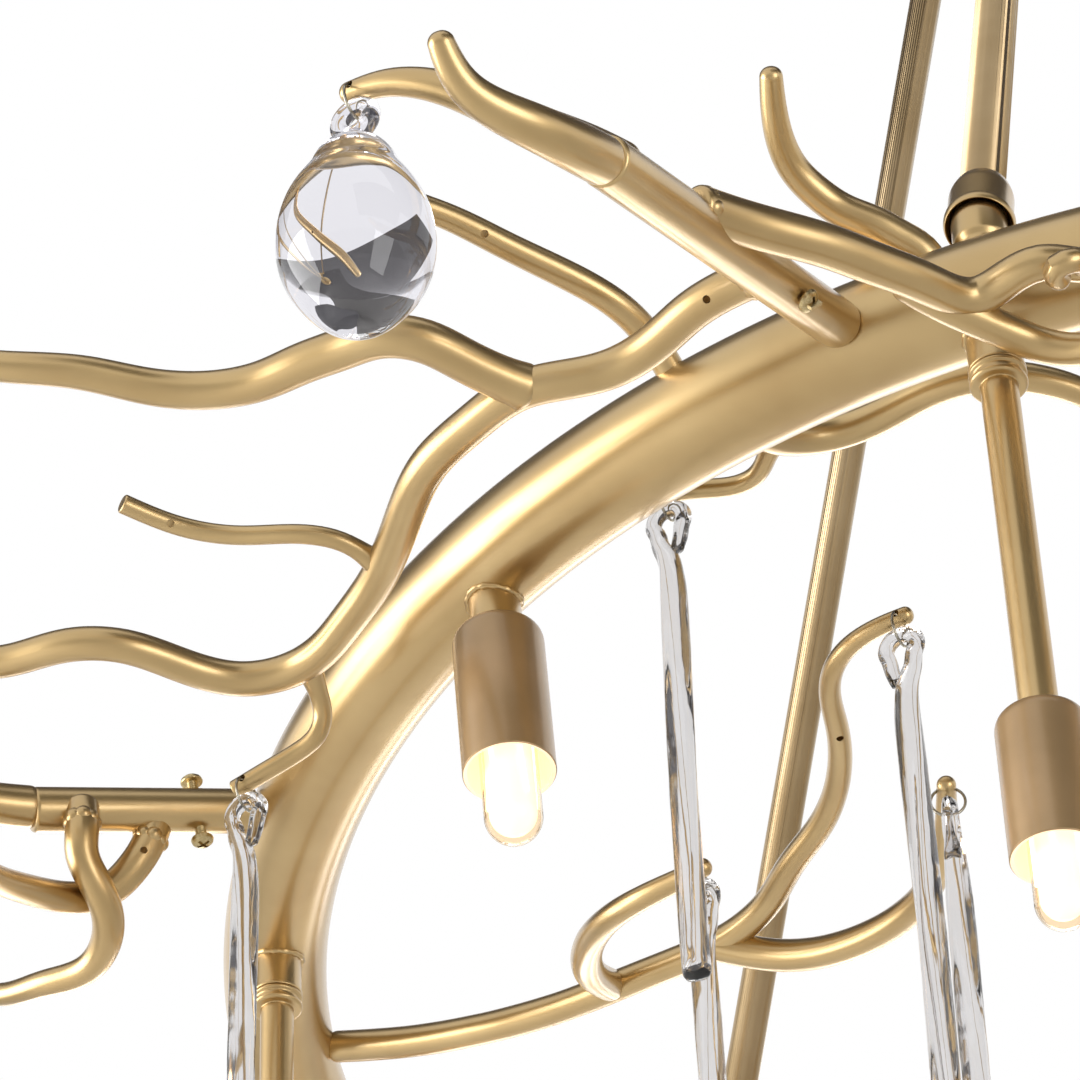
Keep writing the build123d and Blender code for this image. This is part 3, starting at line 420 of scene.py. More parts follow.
def buildCopyTree():
    # copies of one made piece on every point, its Z along the point's axis
    tree, given = newTree("fittedCopies", {
        "Geometry": "NodeSocketGeometry", "Piece": "NodeSocketObject",
        "Seed": "NodeSocketInt", "Material": "NodeSocketMaterial"})
    piece = addNode(tree, "GeometryNodeObjectInfo", {"Object": given["Piece"]})
    axis = addNode(tree, "GeometryNodeInputNamedAttribute", {"Name": "axis"},
                   data_type="FLOAT_VECTOR")
    aimed = addNode(tree, "FunctionNodeAlignRotationToVector", {
        "Vector": axis.outputs["Attribute"]}, axis="Z")
    angle = addNode(tree, "FunctionNodeRandomValue", {
        "Min": 0.0, "Max": 3.0, "Seed": given["Seed"]}, data_type="FLOAT")
    spin = addNode(tree, "FunctionNodeAxisAngleToRotation", {
        "Axis": (0, 0, 1), "Angle": liveOutput(angle)})
    turned = addNode(tree, "FunctionNodeRotateRotation", {
        "Rotation": aimed.outputs["Rotation"], "Rotate By": spin.outputs["Rotation"]},
        rotation_space="LOCAL")
    placed = addNode(tree, "GeometryNodeInstanceOnPoints", {
        "Points": given["Geometry"], "Instance": piece.outputs["Geometry"],
        "Rotation": turned.outputs["Rotation"]})
    closeTree(tree, placed.outputs["Instances"], given["Material"])
    return tree


tubeTree = buildTubeTree()
beadTree = buildBeadTree()
copyTree = buildCopyTree()


def tube(line, widths, material, sides=40, closed=False, twist=None, lobes=0, lobeDepth=0.0,
         wave=0.0, waveSize=20):
    count = len(line)
    edges = [(i, i + 1) for i in range(count - 1)] + ([(count - 1, 0)] if closed else [])
    twists = np.zeros(count) if twist is None else twist
    return grown(tubeTree, line, {
        "Sides": sides, "Lobes": float(lobes), "Lobe Depth": lobeDepth, "Wave": wave,
        "Wave Size": 1 / waveSize, "Material": material,
    }, edges, width=widths, twist=twists)


def softened(points, size, steps=4):
    # a profile with each inner corner eased by up to that size
    points = [Vector(p) for p in points]
    made = [points[0]]
    for before, corner, after in zip(points, points[1:], points[2:]):
        reach = min(size, 0.48 * (corner - before).length, 0.48 * (after - corner).length)
        start = corner + (before - corner).normalized() * reach
        end = corner + (after - corner).normalized() * reach
        for k in range(steps + 1):
            t = k / steps
            made.append(start * (1 - t) ** 2 + corner * 2 * t * (1 - t) + end * t * t)
    return made + [points[-1]]


def lathed(profile, material, segments=72):
    # turns (radius, height) points about Z; a radius of nothing closes in a pole
    bm = bmesh.new()
    rows = []
    for radius, height in profile:
        if radius < 1e-4:
            rows.append([bm.verts.new((0, 0, height))] * segments)
            continue
        rows.append([bm.verts.new(p) for p in circleLine(radius, segments, height)])
    for low, high in zip(rows, rows[1:]):
        for i in range(segments):
            j = (i + 1) % segments
            corners = list(dict.fromkeys([low[i], low[j], high[j], high[i]]))
            if len(corners) > 2:
                bm.faces.new(corners)
    bmesh.ops.recalc_face_normals(bm, faces=bm.faces)
    mesh = meshFrom(bm, "lathed")
    mesh.materials.append(material)
    return mesh


def moved(mesh, matrix):
    copy = mesh.copy()
    copy.transform(matrix)
    return copy


def joined(name, meshes):
    bm = bmesh.new()
    materials = []
    for mesh in meshes:
        first = len(bm.faces)
        bm.from_mesh(mesh)
        bm.faces.ensure_lookup_table()
        used = list(mesh.materials)
        for material in used:
            if material not in materials:
                materials.append(material)
        for face in bm.faces[first:]:
            face.material_index = materials.index(used[face.material_index])
    made = meshFrom(bm, name)
    for material in materials:
        made.materials.append(material)
    return made


def dressed(name, mesh, body, stoodFor, sharp):
    # a smooth piece that rides on its body in place of its CAD nodes
    mesh.shade_smooth()
    mesh.set_sharp_from_angle(angle=math.radians(sharp))
    piece = standing(name, mesh)
    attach(piece, body)
    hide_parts(*stoodFor)
    return piece


def finished(name, meshes, *stoodFor, body="fixture", slot="gold_paint", sharp=38):
    # one piece, from millimetres to metres, most of them gold and on the fixture
    mesh = joined(name, meshes)
    mesh.transform(Matrix.Scale(mm, 4))
    return dressed(name, mesh, body, stoodFor, sharp)


def drilled(mesh, cutters):
    # the mesh with round holes, each (place, way, radius, half length)
    drills = []
    for place, way, radius, reach in cutters:
        pin = lathed([(0, -reach), (radius, -reach), (radius, reach), (0, reach)],
                     mesh.materials[0], 20)
        pin.transform(aimed(place, way))
        drills.append(standing("drill", pin))
    return takeAway(standing("drilled", mesh), drills)


# Frames on the ring

def ringFrame(heading, lean=0):
    return (turnedBy(heading) @ Matrix.Translation((ring["radius"], 0, ringHeight))
            @ Matrix.Rotation(math.radians(lean), 4, "X"))


def sleeveFrame(tilt):
    # Z along the sleeve, outwards and down, over the X axis
    t = math.radians(tilt)
    return Matrix(((math.sin(t), 0, math.cos(t), ring["radius"]),
                   (0, -1, 0, 0),
                   (math.cos(t), 0, -math.sin(t), ringHeight),
                   (0, 0, 0, 1)))


def onRingSurface(matrix, radius, towards, sides=48):
    # where a round bar of that radius, along the frame's Z, meets the ring's tube
    found = []
    for i in range(sides):
        a = 2 * math.pi * i / sides
        near, far = 0.0, 30.0
        for _ in range(24):
            middle = (near + far) / 2
            p = matrix @ Vector((radius * math.cos(a), radius * math.sin(a), towards * middle))
            out = math.hypot(math.hypot(p.x, p.y) - ring["radius"], p.z - ringHeight)
            near, far = (middle, far) if out < ring["tube"] else (near, middle)
        found.append(matrix @ Vector((radius * math.cos(a), radius * math.sin(a), towards * near)))
    return np.array(found)


def weldSeam(matrix, radius, towards, width):
    # the painted weld round a bar where it meets the ring
    line = onRingSurface(matrix, radius, towards)
    widths = width * (1 + 0.18 * np.sin(np.arange(len(line)) * 1.9))
    return tube(line, widths, goldPaint, sides=12, closed=True)


# Bent limbs: places in mm out from the ring's centre line, sideways and up
limbPlaces = {
    "mainTip": [(170, 0, -66), (188, -2, -73), (206, -8, -76), (224, -16, -73),
                (238, -16, -64)],
    "forked": [(68, -2, -25), (65, -27, -25), (59, -44, -26), (57, -63, -27), (61, -75, -28),
               (64, -88, -28), (59, -109, -28), (50, -130, -28), (37, -146, -28),
               (23, -160, -28), (9, -176, -28), (-3, -194, -28), (-14, -218, -28),
               (-10, -239, -28), (6, -253, -27), (24, -265, -26), (32, -283, -24),
               (34, -306, -22), (43, -324, -18), (56, -334, -12)],
    "side": [(62, -86, -28), (83, -98, -26), (95, -105, -24), (102, -116, -22),
             (102, -130, -20), (102, -145, -19), (101, -160, -18), (105, -180, -16),
             (115, -196, -14), (128, -210, -12), (142, -231, -10), (151, -250, -4)],
    "openTwig": [(14, -170, -28), (29, -176, -25), (37, -186, -23), (44, -205, -20),
                 (55, -221, -17), (72, -233, -14)],
    "dropTwig": [(-16, -217, -28), (-28, -220, -32), (-33, -222, -36), (-35, -225, -40),
                 (-36.5, -233, -43), (-36, -243, -46), (-35.5, -258.5, -50)],
    "far": [(120, 2, -42), (106, 8, -39), (91, 17, -37), (79, 25, -36), (66, 32, -35),
            (53, 39, -34), (42, 44, -33), (34, 48, -32), (30, 53, -31), (30, 59, -30),
            (32, 66, -30), (32, 75, -30), (28, 81, -30), (24, 88, -31), (24, 99, -32),
            (34, 110, -33), (50, 118, -32), (66, 120, -28)],
    "curl": [(26, 85, -31), (32, 88.5, -36.5), (38.5, 87, -40.5), (39.5, 82.5, -41.5),
             (35, 80.5, -41), (31, 81.5, -39.5)],
    "low": [(47.3, 34.4, -28), (38.3, 39.4, -30.5), (28.3, 46.4, -33.5), (18.3, 54.4, -36.5),
            (9.3, 62.4, -39.5), (5.3, 72.4, -43.5), (7.3, 86.4, -47.5), (17.3, 98.4, -51.5),
            (29.3, 104.4, -57.5)],
    "eggTwig": [(162, 2, -62), (160, -14, -42), (164, -34, -23), (174, -52, -10),
                (178, -68, -3), (178, -84, 0)],
    "shortTip": [(95, 0, -15.5), (112, 2, -18), (130, 8, -20), (146, 18, -18),
                 (160, 20, -12), (172, 15, -4)],
    "crossing": [(81, 4, -15), (81, 6, -26), (80, 3, -36), (76, 0, -42), (70, -6, -48),
                 (66, -20, -52), (70, -38, -54), (82, -52, -52), (92, -68, -47),
                 (104, -80, -40)],
    "under": [(53, -1, -10), (56, -4, -22), (61, -8, -31), (68, -13, -37.5), (80, -12, -43),
              (96, -2, -50), (110, 12, -58), (122, 30, -66), (132, 46, -72)],
    "underTwig": [(106, 7, -55.5), (119, 5, -60), (131, -5, -63), (143, -15, -65),
                  (153, -28, -66)],
    "lowUpper": [(5, -64, 10), (14, -65, 16), (31, -68, 22), (51, -79, 28), (68, -91, 33),
                 (85, -103, 38), (102, -115, 42), (118, -120, 50)],
    "highUpper": [(0, 27, 14), (6, 26.5, 20), (12, 22, 24), (19, 16, 28), (25, 9, 32),
                  (33, 4, 36), (43, 1, 40), (58, 3, 46), (74, 10, 54)],
    "inner": [(-20, -53, 5), (-36, -49, 10), (-45, -44, 14), (-53, -33, 18), (-55, -19, 20),
              (-53, -3, 20), (-52, 12, 18), (-55, 25, 16), (-62, 36, 14), (-72, 45, 12),
              (-86, 50, 11), (-100, 50, 14), (-112, 44, 20)],
    "innerTwig": [(-35, -48, 10), (-41, -55, 9), (-48, -63, 9), (-50, -72, 10),
                  (-46, -84, 11), (-44, -99, 13.5)],
    "rising": [(-42, -134, -2), (-62, -115, -10), (-85, -90, -18), (-110, -60, -24),
               (-135, -25, -28), (-155, 5, -30), (-162, 28, -30), (-163, 49, -30),
               (-166, 74, -30), (-164, 99, -30), (-154, 128, -30), (-146, 145, -30),
               (-144, 164, -30), (-149, 177, -30), (-160, 190, -30)],
    "risingFar": [(-150, -3, -29), (-170, 10, -40), (-188, 35, -50), (-200, 70, -56),
                  (-196, 110, -60), (-185, 144, -60)],
    "risingNear": [(-124, -40, -26), (-108, -15, -40), (-98, 20, -52), (-104, 56, -60),
                   (-114, 70, -60), (-122, 81, -60)],
}

# Each limb's thickness at its root and tip, how its ends are finished, how far along it
# holes face the camera and weld lumps sit
limbs = {
    "mainTip": {"root": 7.5, "tip": 3.6},
    "forked": {"root": 6.4, "tip": 5.4, "rootEase": 2.2, "holes": [17], "beads": 4},
    "side": {"root": 7.0, "tip": 4.6, "flare": 1.0},
    "openTwig": {"root": 3.25, "tip": 3.25, "flare": 1.4, "holes": [74], "tipEase": 0.7},
    "dropTwig": {"root": 3.25, "tip": 3.25, "flare": 1.2, "twigHole": True, "tipEase": 0.7},
    "far": {"root": 7.0, "tip": 3.6, "rootEase": 2.0, "beads": 4},
    "curl": {"root": 3.9, "tip": 3.9},
    "low": {"root": 6.0, "tip": 3.6},
    "eggTwig": {"root": 7.0, "tip": 3.25, "twigHole": True},
    "shortTip": {"root": 7.5, "tip": 3.6},
    "crossing": {"root": 6.0, "tip": 3.6, "rootEase": 2.0, "beads": 9},
    "under": {"root": 6.0, "tip": 3.6, "rootEase": 2.0, "holes": [17], "beads": 10},
    "underTwig": {"root": 3.25, "tip": 3.25, "flare": 1.0, "twigHole": True},
    "lowUpper": {"root": 5.0, "tip": 3.6, "holes": [82]},
    "highUpper": {"root": 6.0, "tip": 3.6},
    "inner": {"root": 6.0, "tip": 3.6},
    "innerTwig": {"root": 3.25, "tip": 3.25, "flare": 1.0, "twigHole": True},
    "rising": {"root": 6.0, "tip": 3.0, "twigHole": True, "holes": [306]},
    "risingFar": {"root": 6.0, "tip": 3.25, "twigHole": True},
    "risingNear": {"root": 6.0, "tip": 3.25, "twigHole": True},
}
twigHole = {"radius": 1.3, "setback": 5, "past": 3}
bead = {"smallest": 2.7, "largest": 3.4, "sunk": 0.62, "turns": (-105, -55, -12, 38, 80, 150)}
sleeve = {"outer": 8.0, "bore": 6.3, "deep": 52, "mouth": 1.6, "gap": 0.3, "long": 166,
          "short": 80}
forging = {"wave": 0.25, "waveSize": 26}
flareLength = 7
limbStep = 2.4


def limbLine(name):
    places = [(ring["radius"] + out, side, ringHeight + up) for out, side, up in limbPlaces[name]]
    return smoothLine(places, limbStep)


def easedEnds(line, spec):
    # stations with more of them where the ends are rounded, and the width at each
    total = lengthsAlong(line)[-1]
    root, tip = spec["root"], spec["tip"]
    rootEase, tipEase = spec.get("rootEase", root * 0.6), spec.get("tipEase", tip * 0.9)
    stops = list(np.arange(limbStep, total, limbStep))
    for k in range(9):
        turn = math.pi / 2 * k / 8
        stops.append(rootEase * (1 - math.sin(turn)))
        stops.append(total - tipEase * (1 - math.sin(turn)))
    stops = sorted(set(round(s, 3) for s in stops))
    points, widths = [], []
    for s in stops:
        place, _ = placeAlong(line, s)
        width = root + (tip - root) * (s / total) ** 2
        width += spec.get("flare", 0) * math.exp(-(s / flareLength) ** 2)
        for inset, ease in ((s, rootEase), (total - s, tipEase)):
            if inset < ease:
                width -= ease - math.sqrt(max(0, ease ** 2 - (ease - inset) ** 2))
        points.append(place)
        widths.append(max(width, 0.02))
    return points, widths


def bentLimb(name, facing):
    # a forged limb, its surface a little uneven, with its holes
    spec = limbs[name]
    line = limbLine(name)
    total = lengthsAlong(line)[-1]
    mesh = tube(*easedEnds(line, spec), goldPaint, **forging)
    cutters = []
    if spec.get("twigHole"):
        place, way = placeAlong(line, total - twigHole["setback"])
        level = Vector((0, 0, 1)).cross(way).normalized()
        cutters.append((place, level, twigHole["radius"], spec["root"] + twigHole["past"]))
    for spot in spec.get("holes", []):
        place, way = placeAlong(line, spot)
        outwards = (facing - way * facing.dot(way)).normalized()
        cutters.append((place + outwards * spec["root"], outwards, twigHole["radius"],
                        spec["root"]))
    return drilled(mesh, cutters) if cutters else mesh


def weldBeads(name, facing, seed):
    # lumps of weld on the side of a limb that shows, where it leaves its sleeve
    spec = limbs[name]
    place, way = placeAlong(limbLine(name), spec["beads"])
    across = (facing - way * facing.dot(way)).normalized()
    spots = [place + Matrix.Rotation(math.radians(turn), 3, way) @ across * spec["root"]
             * bead["sunk"] for turn in bead["turns"]]
    return grown(beadTree, spots, {"Smallest": bead["smallest"], "Largest": bead["largest"],
                                   "Seed": seed, "Material": goldPaint})


def sleeveTube(tilt, length):
    # a sleeve whose mouth is rolled round the spigot, just off the ring
    outer, bore, deep = sleeve["outer"], sleeve["bore"], sleeve["deep"]
    start = ring["tube"] + sleeve["gap"]
    profile = softened([(0, deep), (bore, deep), (bore, 0), (outer, 0), (outer, length),
                        (0, length)], sleeve["mouth"], 6)
    mesh = lathed([(r, z + start) for r, z in profile], goldPaint)
    return moved(mesh, sleeveFrame(tilt))


def limbGroup(names, welds, heading, seed):
    facing = turnedBy(-heading).to_3x3() @ towardsCamera
    parts = [bentLimb(name, facing) for name in names]
    return parts + [weldBeads(name, facing, seed + i) for i, name in enumerate(welds)]


def bentPieces(node, mesh, places):
    # a piece at each heading, for the CAD nodes numbered in that order
    for i, heading in enumerate(places):
        finished(f"{node}_{i + 1}_bent", [moved(mesh, turnedBy(heading))], f"{node}_{i + 1}")


longParts = limbGroup(["mainTip", "forked", "side", "openTwig", "dropTwig", "far", "curl",
                       "low", "eggTwig"], ["forked", "far"], headings["long"], 3)
longBranch = joined("longBranch", longParts + [sleeveTube(tilts["long"], sleeve["long"])])
bentPieces("long_branch", longBranch, longHeadings)
shortParts = limbGroup(["shortTip", "crossing", "under", "underTwig"], ["crossing", "under"],
                       headings["short"][0], 11)
shortBranch = joined("shortBranch", shortParts + [sleeveTube(tilts["short"], sleeve["short"])])
bentPieces("short_branch", shortBranch, shortHeadings)
print("branches bent")

upper = joined("upper", limbGroup(["lowUpper", "highUpper"], [], headings["long"], 0))
finished("upper_limbs_bent", [moved(upper, turnedBy(h)) for h in longHeadings], "upper_limbs")
inner = joined("inner", limbGroup(["inner", "innerTwig"], [], headings["long"], 0))
rising = joined("rising", limbGroup(["rising", "risingFar", "risingNear"], [],
                                    headings["rising"], 0))
bentPieces("inner_limb", inner, longHeadings)
bentPieces("rising_limb", rising, [headings["rising"] + s for s in sectors])
print("inner limbs bent")

# Main ring with its posts, spigots and weld seams
post = {"radius": 9.2, "neck": 7.8, "height": 11}
spigot = {"radius": 6.0, "reach": 50}
ringParts = [tube(circleLine(ring["radius"], ring["turns"], ringHeight),
                  [ring["tube"]] * ring["turns"], goldPaint, ring["sides"], closed=True,
                  wave=0.3, waveSize=90)]
footRise = ring["tube"] + post["height"]
postProfile = softened([(0, 8), (post["neck"], 8), (post["neck"], ring["tube"] + 1),
                        (post["radius"], ring["tube"] + 3.4), (post["radius"], footRise)], 0.8)
postProfile += quarterRound(post["radius"], footRise, 10, 1)
spigotProfile = [(0, 8), (spigot["radius"], 8), (spigot["radius"], ring["tube"] + spigot["reach"]),
                 (0, ring["tube"] + spigot["reach"])]
for heading in rodHeadings:
    foot = ringFrame(heading)
    ringParts.append(moved(lathed(postProfile, goldPaint, 48), foot))
    ringParts.append(weldSeam(foot, post["neck"], 1, 0.9))
spigotMesh = lathed(spigotProfile, goldPaint, 40)
for tilt, places in ((tilts["long"], longHeadings), (tilts["short"], shortHeadings)):
    ringParts += [moved(spigotMesh, turnedBy(h) @ sleeveFrame(tilt)) for h in places]
finished("main_ring_painted", ringParts, "main_ring")

# Rod bells: a rolled lip, a barrel and a domed crown
footPoint = Vector((ring["radius"], 0, ringHeight + footRise))
hubEye = {"radius": 45, "below": 18}
rodTop = Vector((hubEye["radius"], 0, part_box("hub")[1].z / mm - hubEye["below"]))
rodFrame = aimed(footPoint, rodTop - footPoint)
bell = lathed(softened([(0, 9.8), (9.3, 9.8), (9.3, 5), (10.4, 0.6), (11, -0.4), (11.7, 1.2),
                        (11.7, 3.2), (10.7, 4.6), (10.7, 19), (9.4, 24.5), (7.6, 27), (0, 27)],
                       1.6, 6), goldPaint)
finished("rod_bells_turned", [moved(bell, turnedBy(h) @ rodFrame) for h in rodHeadings],
         "rod_bells")
print("ring and bells made")

# Lamps: necks, rods, cups, holders and bulbs

def downFrom(matrix, depth):
    return matrix @ Matrix.Translation((0, 0, -depth))


lampPlaces = {kind: [ringFrame(h + s, spec["lean"]) for s in sectors for h in spec["headings"]]
              for kind, spec in lampKinds.items()}

neckBottom = lamps["neckLength"]
neckProfile = softened([(0, -10), (lamps["neck"], -10), (lamps["neck"], 1.6 - neckBottom),
                        (lamps["neck"] + 0.35, 1.4 - neckBottom),
                        (lamps["neck"] + 0.35, -neckBottom), (0, -neckBottom)], 0.5)
neck = lathed(neckProfile, goldPaint, 56)
neckParts = []
for matrix in lampPlaces["short"] + lampPlaces["long"]:
    neckParts.append(moved(neck, matrix))
    neckParts.append(weldSeam(matrix, lamps["neck"], -1, 1.2))
finished("lamp_necks_turned", neckParts, "lamp_necks")

wide, waist = lamps["coupling"], lamps["coupling"] - 1.1
rodEnd = neckBottom - lampKinds["long"]["top"]
couplingProfile = softened([(0, 0), (wide - 0.9, 0), (wide, -0.6), (wide, -1.5), (waist, -2.1),
                            (waist, -3.7), (wide, -4.2), (wide, -5.3), (wide - 0.8, -6),
                            (lamps["rod"], -6), (lamps["rod"], rodEnd), (0, rodEnd)], 0.5)
coupling = lathed(couplingProfile, goldPaint, 56)
finished("lamp_rods_turned",
         [moved(coupling, downFrom(m, neckBottom)) for m in lampPlaces["long"]], "lamp_rods")

cup = {"wall": 1.5, "top": 1.5, "shoulder": 5.0}
socket = {"outer": 10.5, "bore": 6.6, "floor": 14}
bulbTube = {"wall": 0.7, "neck": 6.0}
filament = {"wires": 5, "inset": 1.2, "end": 3, "radius": 0.5}


def cupShell(spec):
    # the spun cup, its inside enamelled and given a painted glow for its bulb's light, with a
    # plain rolled rim
    out, inside, low = spec["cup"], spec["cup"] - cup["wall"], -spec["height"]
    outer = softened([(0, 0), (out, 0), (out, low + 0.4)], cup["shoulder"], 8)
    rim = [(out - 0.35, low), (inside + 0.35, low), (inside, low + 0.4)]
    inner = softened([(inside, low + 0.4), (inside, -cup["top"]), (0, -cup["top"])],
                     cup["shoulder"] - cup["wall"], 8)
    shell = lathed(outer + rim[:1], cupPaint)
    return joined("cupShell", [shell, lathed(rim + inner[1:], paintedGlowCupEnamel)])


def holderTube(spec):
    out, bore, depth = socket["outer"], socket["bore"], socket["floor"]
    profile = softened([(0, 0), (out, 0), (out, -spec["holder"]), (bore, -spec["holder"]),
                        (bore, -depth), (0, -depth)], 0.8)
    return lathed(profile, holderPlastic, 48)


def bulbOutline(spec, inset, tail=0.0):
    # from the neck down over the shoulder to the round end
    radius = spec["bulb"] - inset
    base, low = bulbTube["neck"] - inset, spec["bulb"] - spec["glass"] + tail
    sides = [(base, 0.0), (base, -1.5), (radius, -6), (radius, low)]
    return softened(sides, 2) + quarterRound(radius, low, 12, -1)


cupParts, holderParts, bulbParts, glowParts = [], [], [], []
for kind, spec in lampKinds.items():
    shell, holder = cupShell(spec), holderTube(spec)
    glass = lathed(bulbOutline(spec, bulbTube["wall"])[::-1] + bulbOutline(spec, 0), bulbGlass,
                   56)
    cap = lathed(softened([(0, 16), (4, 16), (6, 13), (6, 0.2), (0, 0.2)], 0.8), screwBrass, 40)
    heart = lathed([(0, -1)] + bulbOutline(spec, 1.7, 1.5), lampGlow, 40)
    wick = []
    for i in range(filament["wires"]):
        a = 2 * math.pi * i / filament["wires"]
        wide = spec["bulb"] - filament["inset"]
        low = spec["bulb"] - spec["glass"] + filament["end"]
        line = smoothLine([(wide * math.cos(a + t), wide * math.sin(a + t), low * u)
                           for t, u in ((0, 0.15), (0.12, 0.5), (0.3, 0.95))], 3)
        wick.append(tube(line, [filament["radius"]] * len(line), wickGlow, sides=8))
    wick = joined("wick", wick)
    for matrix in lampPlaces[kind]:
        top = downFrom(matrix, spec["top"])
        bulbTop = downFrom(top, cup["top"] + spec["holder"] + 0.5)
        cupParts.append(moved(shell, top))
        holderParts.append(moved(holder, downFrom(top, cup["top"])))
        bulbParts += [moved(glass, bulbTop), moved(cap, bulbTop)]
        glowParts += [moved(heart, bulbTop), moved(wick, bulbTop)]
finished("lamp_cups_spun", cupParts, "lamp_cups", slot="cup_paint")
finished("lamp_holders_moulded", holderParts, "lamp_sockets", slot="socket_plastic")
bulbPiece = finished("bulbs_blown", bulbParts, "bulbs", slot="bulb_glass")
bulbPiece.visible_shadow = False
finished("lamp_glow", glowParts, slot="bulb_glass")
print("lamps made")

# Glass drops: a rod bent over into a hook, thicker and lobed below it
loop = {"radius": 5.6, "tube": 2.9, "slack": 2.15}
drop = {"radius": 5.0, "tip": 2.0, "lobes": 3, "lobeDepth": 0.1, "hook": 40, "ease": 4.0,
        "twist": 90}
swings = {j["child"]: j for j in frame["joints"] if j["child"].startswith("glass_")}


def loopFrame(joint):
    level = Vector(joint["axis"])
    across = Vector((0, 0, 1)).cross(level)
    place = Vector(joint["pos_m"]) / mm - Vector((0, 0, loop["slack"]))
    turn = Matrix((across, (0, 0, 1), level)).transposed().to_4x4()
    return Matrix.Translation(place) @ turn


def hookLine(length):
    # from the hook's tip over the loop and down the rod: X across the hole, Y up
    arc = [(loop["radius"] * math.cos(a), loop["radius"] * math.sin(a), 0)
           for a in (math.radians(d) for d in range(-25, 216, 20))]
    places = [(2.4, -15, 0.6), (4.2, -8, 0.2)] + arc
    places += [(-3.6, -8.5, 0), (-1.6, -14, 0), (-0.3, -22, 0), (0, -32, 0)]
    places += [(0, y, 0) for y in np.linspace(-45, -length, max(3, round(length / 28)))]
    return smoothLine(places, 1.6)


def glassDrop(name, joint):
    matrix = loopFrame(joint)
    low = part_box(name)[0].z / mm
    length = matrix.translation.z - low
    line = hookLine(length)
    at = lengthsAlong(line)
    widths = np.interp(-line[:, 1], [0, 8, 16, 34], [2.7, 2.9, 3.8, drop["radius"] - 0.5])
    hook = (at < drop["hook"]) & (line[:, 0] > -1)
    widths[hook] = np.interp(at[hook], [0, 6, 16], [drop["tip"], 2.4, 2.7])
    left = np.clip((at[-1] - at) / drop["ease"], 0, 1)
    widths *= np.sqrt(np.clip(1 - (1 - left) ** 2, 0.001, 1))
    widths[0] = 0.3
    mesh = tube(line, widths, dropGlass, sides=36, twist=at / drop["twist"],
                lobes=drop["lobes"], lobeDepth=drop["lobeDepth"], wave=0.35, waveSize=14)
    return moved(mesh, matrix)


def glassEgg(joint):
    matrix = loopFrame(joint)
    outline = [(2.9, -5.6), (3.4, -8.6), (9, -13), (14.6, -22.8), (19.8, -33), (23.5, -50.8),
               (22.2, -61), (15.6, -73.5), (8, -81), (0.01, -83.6)]
    curve = smoothLine([(r, y, 0) for r, y in outline], 1.2)
    body = lathed([(0, -5.6)] + [(max(p[0], 0), p[1]) for p in curve], eggGlass, 96)
    body.transform(Matrix.Rotation(-math.pi / 2, 4, "X"))
    eye = tube(circleLine(loop["radius"], 48), [loop["tube"]] * 48, eggGlass, sides=28,
               closed=True)
    return [moved(body, matrix), moved(eye, matrix)]


for name, joint in swings.items():
    isEgg = name.startswith("glass_egg")
    piece = finished(name + ("_cast" if isEgg else "_drawn"),
                     glassEgg(joint) if isEgg else [glassDrop(name, joint)],
                     name, body=name, slot="clear_glass", sharp=80)
    piece.visible_shadow = False

# Wire rings and sleeve screws, copied onto their places
wire = {"radius": 5.8, "wire": 0.5}


def fittedCopies(mesh, places, axes, seed, material):
    master = standing("master", mesh)
    made = grown(copyTree, places, {"Piece": master, "Seed": seed, "Material": material},
                 axis=[tuple(a) for a in axes])
    bpy.data.objects.remove(master)
    return made


wireMesh = tube(circleLine(wire["radius"], 60), [wire["wire"]] * 60, ringWire, sides=10,
                closed=True)
ringSpots = [Vector(j["pos_m"]) / mm + Vector((0, 0, wire["radius"])) for j in swings.values()]
ringAxes = [Vector(j["axis"]).cross(Vector((0, 0, 1))) for j in swings.values()]
finished("wire_rings_bent", [fittedCopies(wireMesh, ringSpots, ringAxes, 1, ringWire)],
         "wire_rings", slot="ring_wire")

screw = {"radius": 2.0, "inner": 3, "pitch": 0.4, "depth": 0.25, "head": 4.0,
         "headHeight": 2.8, "slot": 1.1, "slotLength": 5}


def panScrew(headBase):
    # a pan head screw with a cross recess, its thread fine rings
    pitch, head, top = screw["pitch"], screw["head"], headBase + screw["headHeight"]
    threads = [(screw["radius"] - screw["depth"] * (k % 2), screw["inner"] + pitch * k)
               for k in range(int((headBase - screw["inner"]) / pitch))]
    crown = [(screw["radius"], headBase - 0.2), (head - 0.2, headBase), (head, headBase + 0.5),
             (head - 0.3, headBase + 1.5), (head - 1.3, headBase + 2.4), (1.2, top), (0, top)]
    blank = standing("blank", lathed([(0, screw["inner"])] + threads + crown, screwBrass, 32))
    blades = []
    for size in ((screw["slotLength"], screw["slot"]), (screw["slot"], screw["slotLength"])):
        bm = bmesh.new()
        bmesh.ops.create_cube(bm, size=1)
        bmesh.ops.scale(bm, vec=(*size, screw["headHeight"]), verts=bm.verts)
        bmesh.ops.translate(bm, vec=(0, 0, top), verts=bm.verts)
        blade = meshFrom(bm, "blade")
        blade.materials.append(screwBrass)
        blades.append(standing("blade", blade))
    return takeAway(blank, blades)


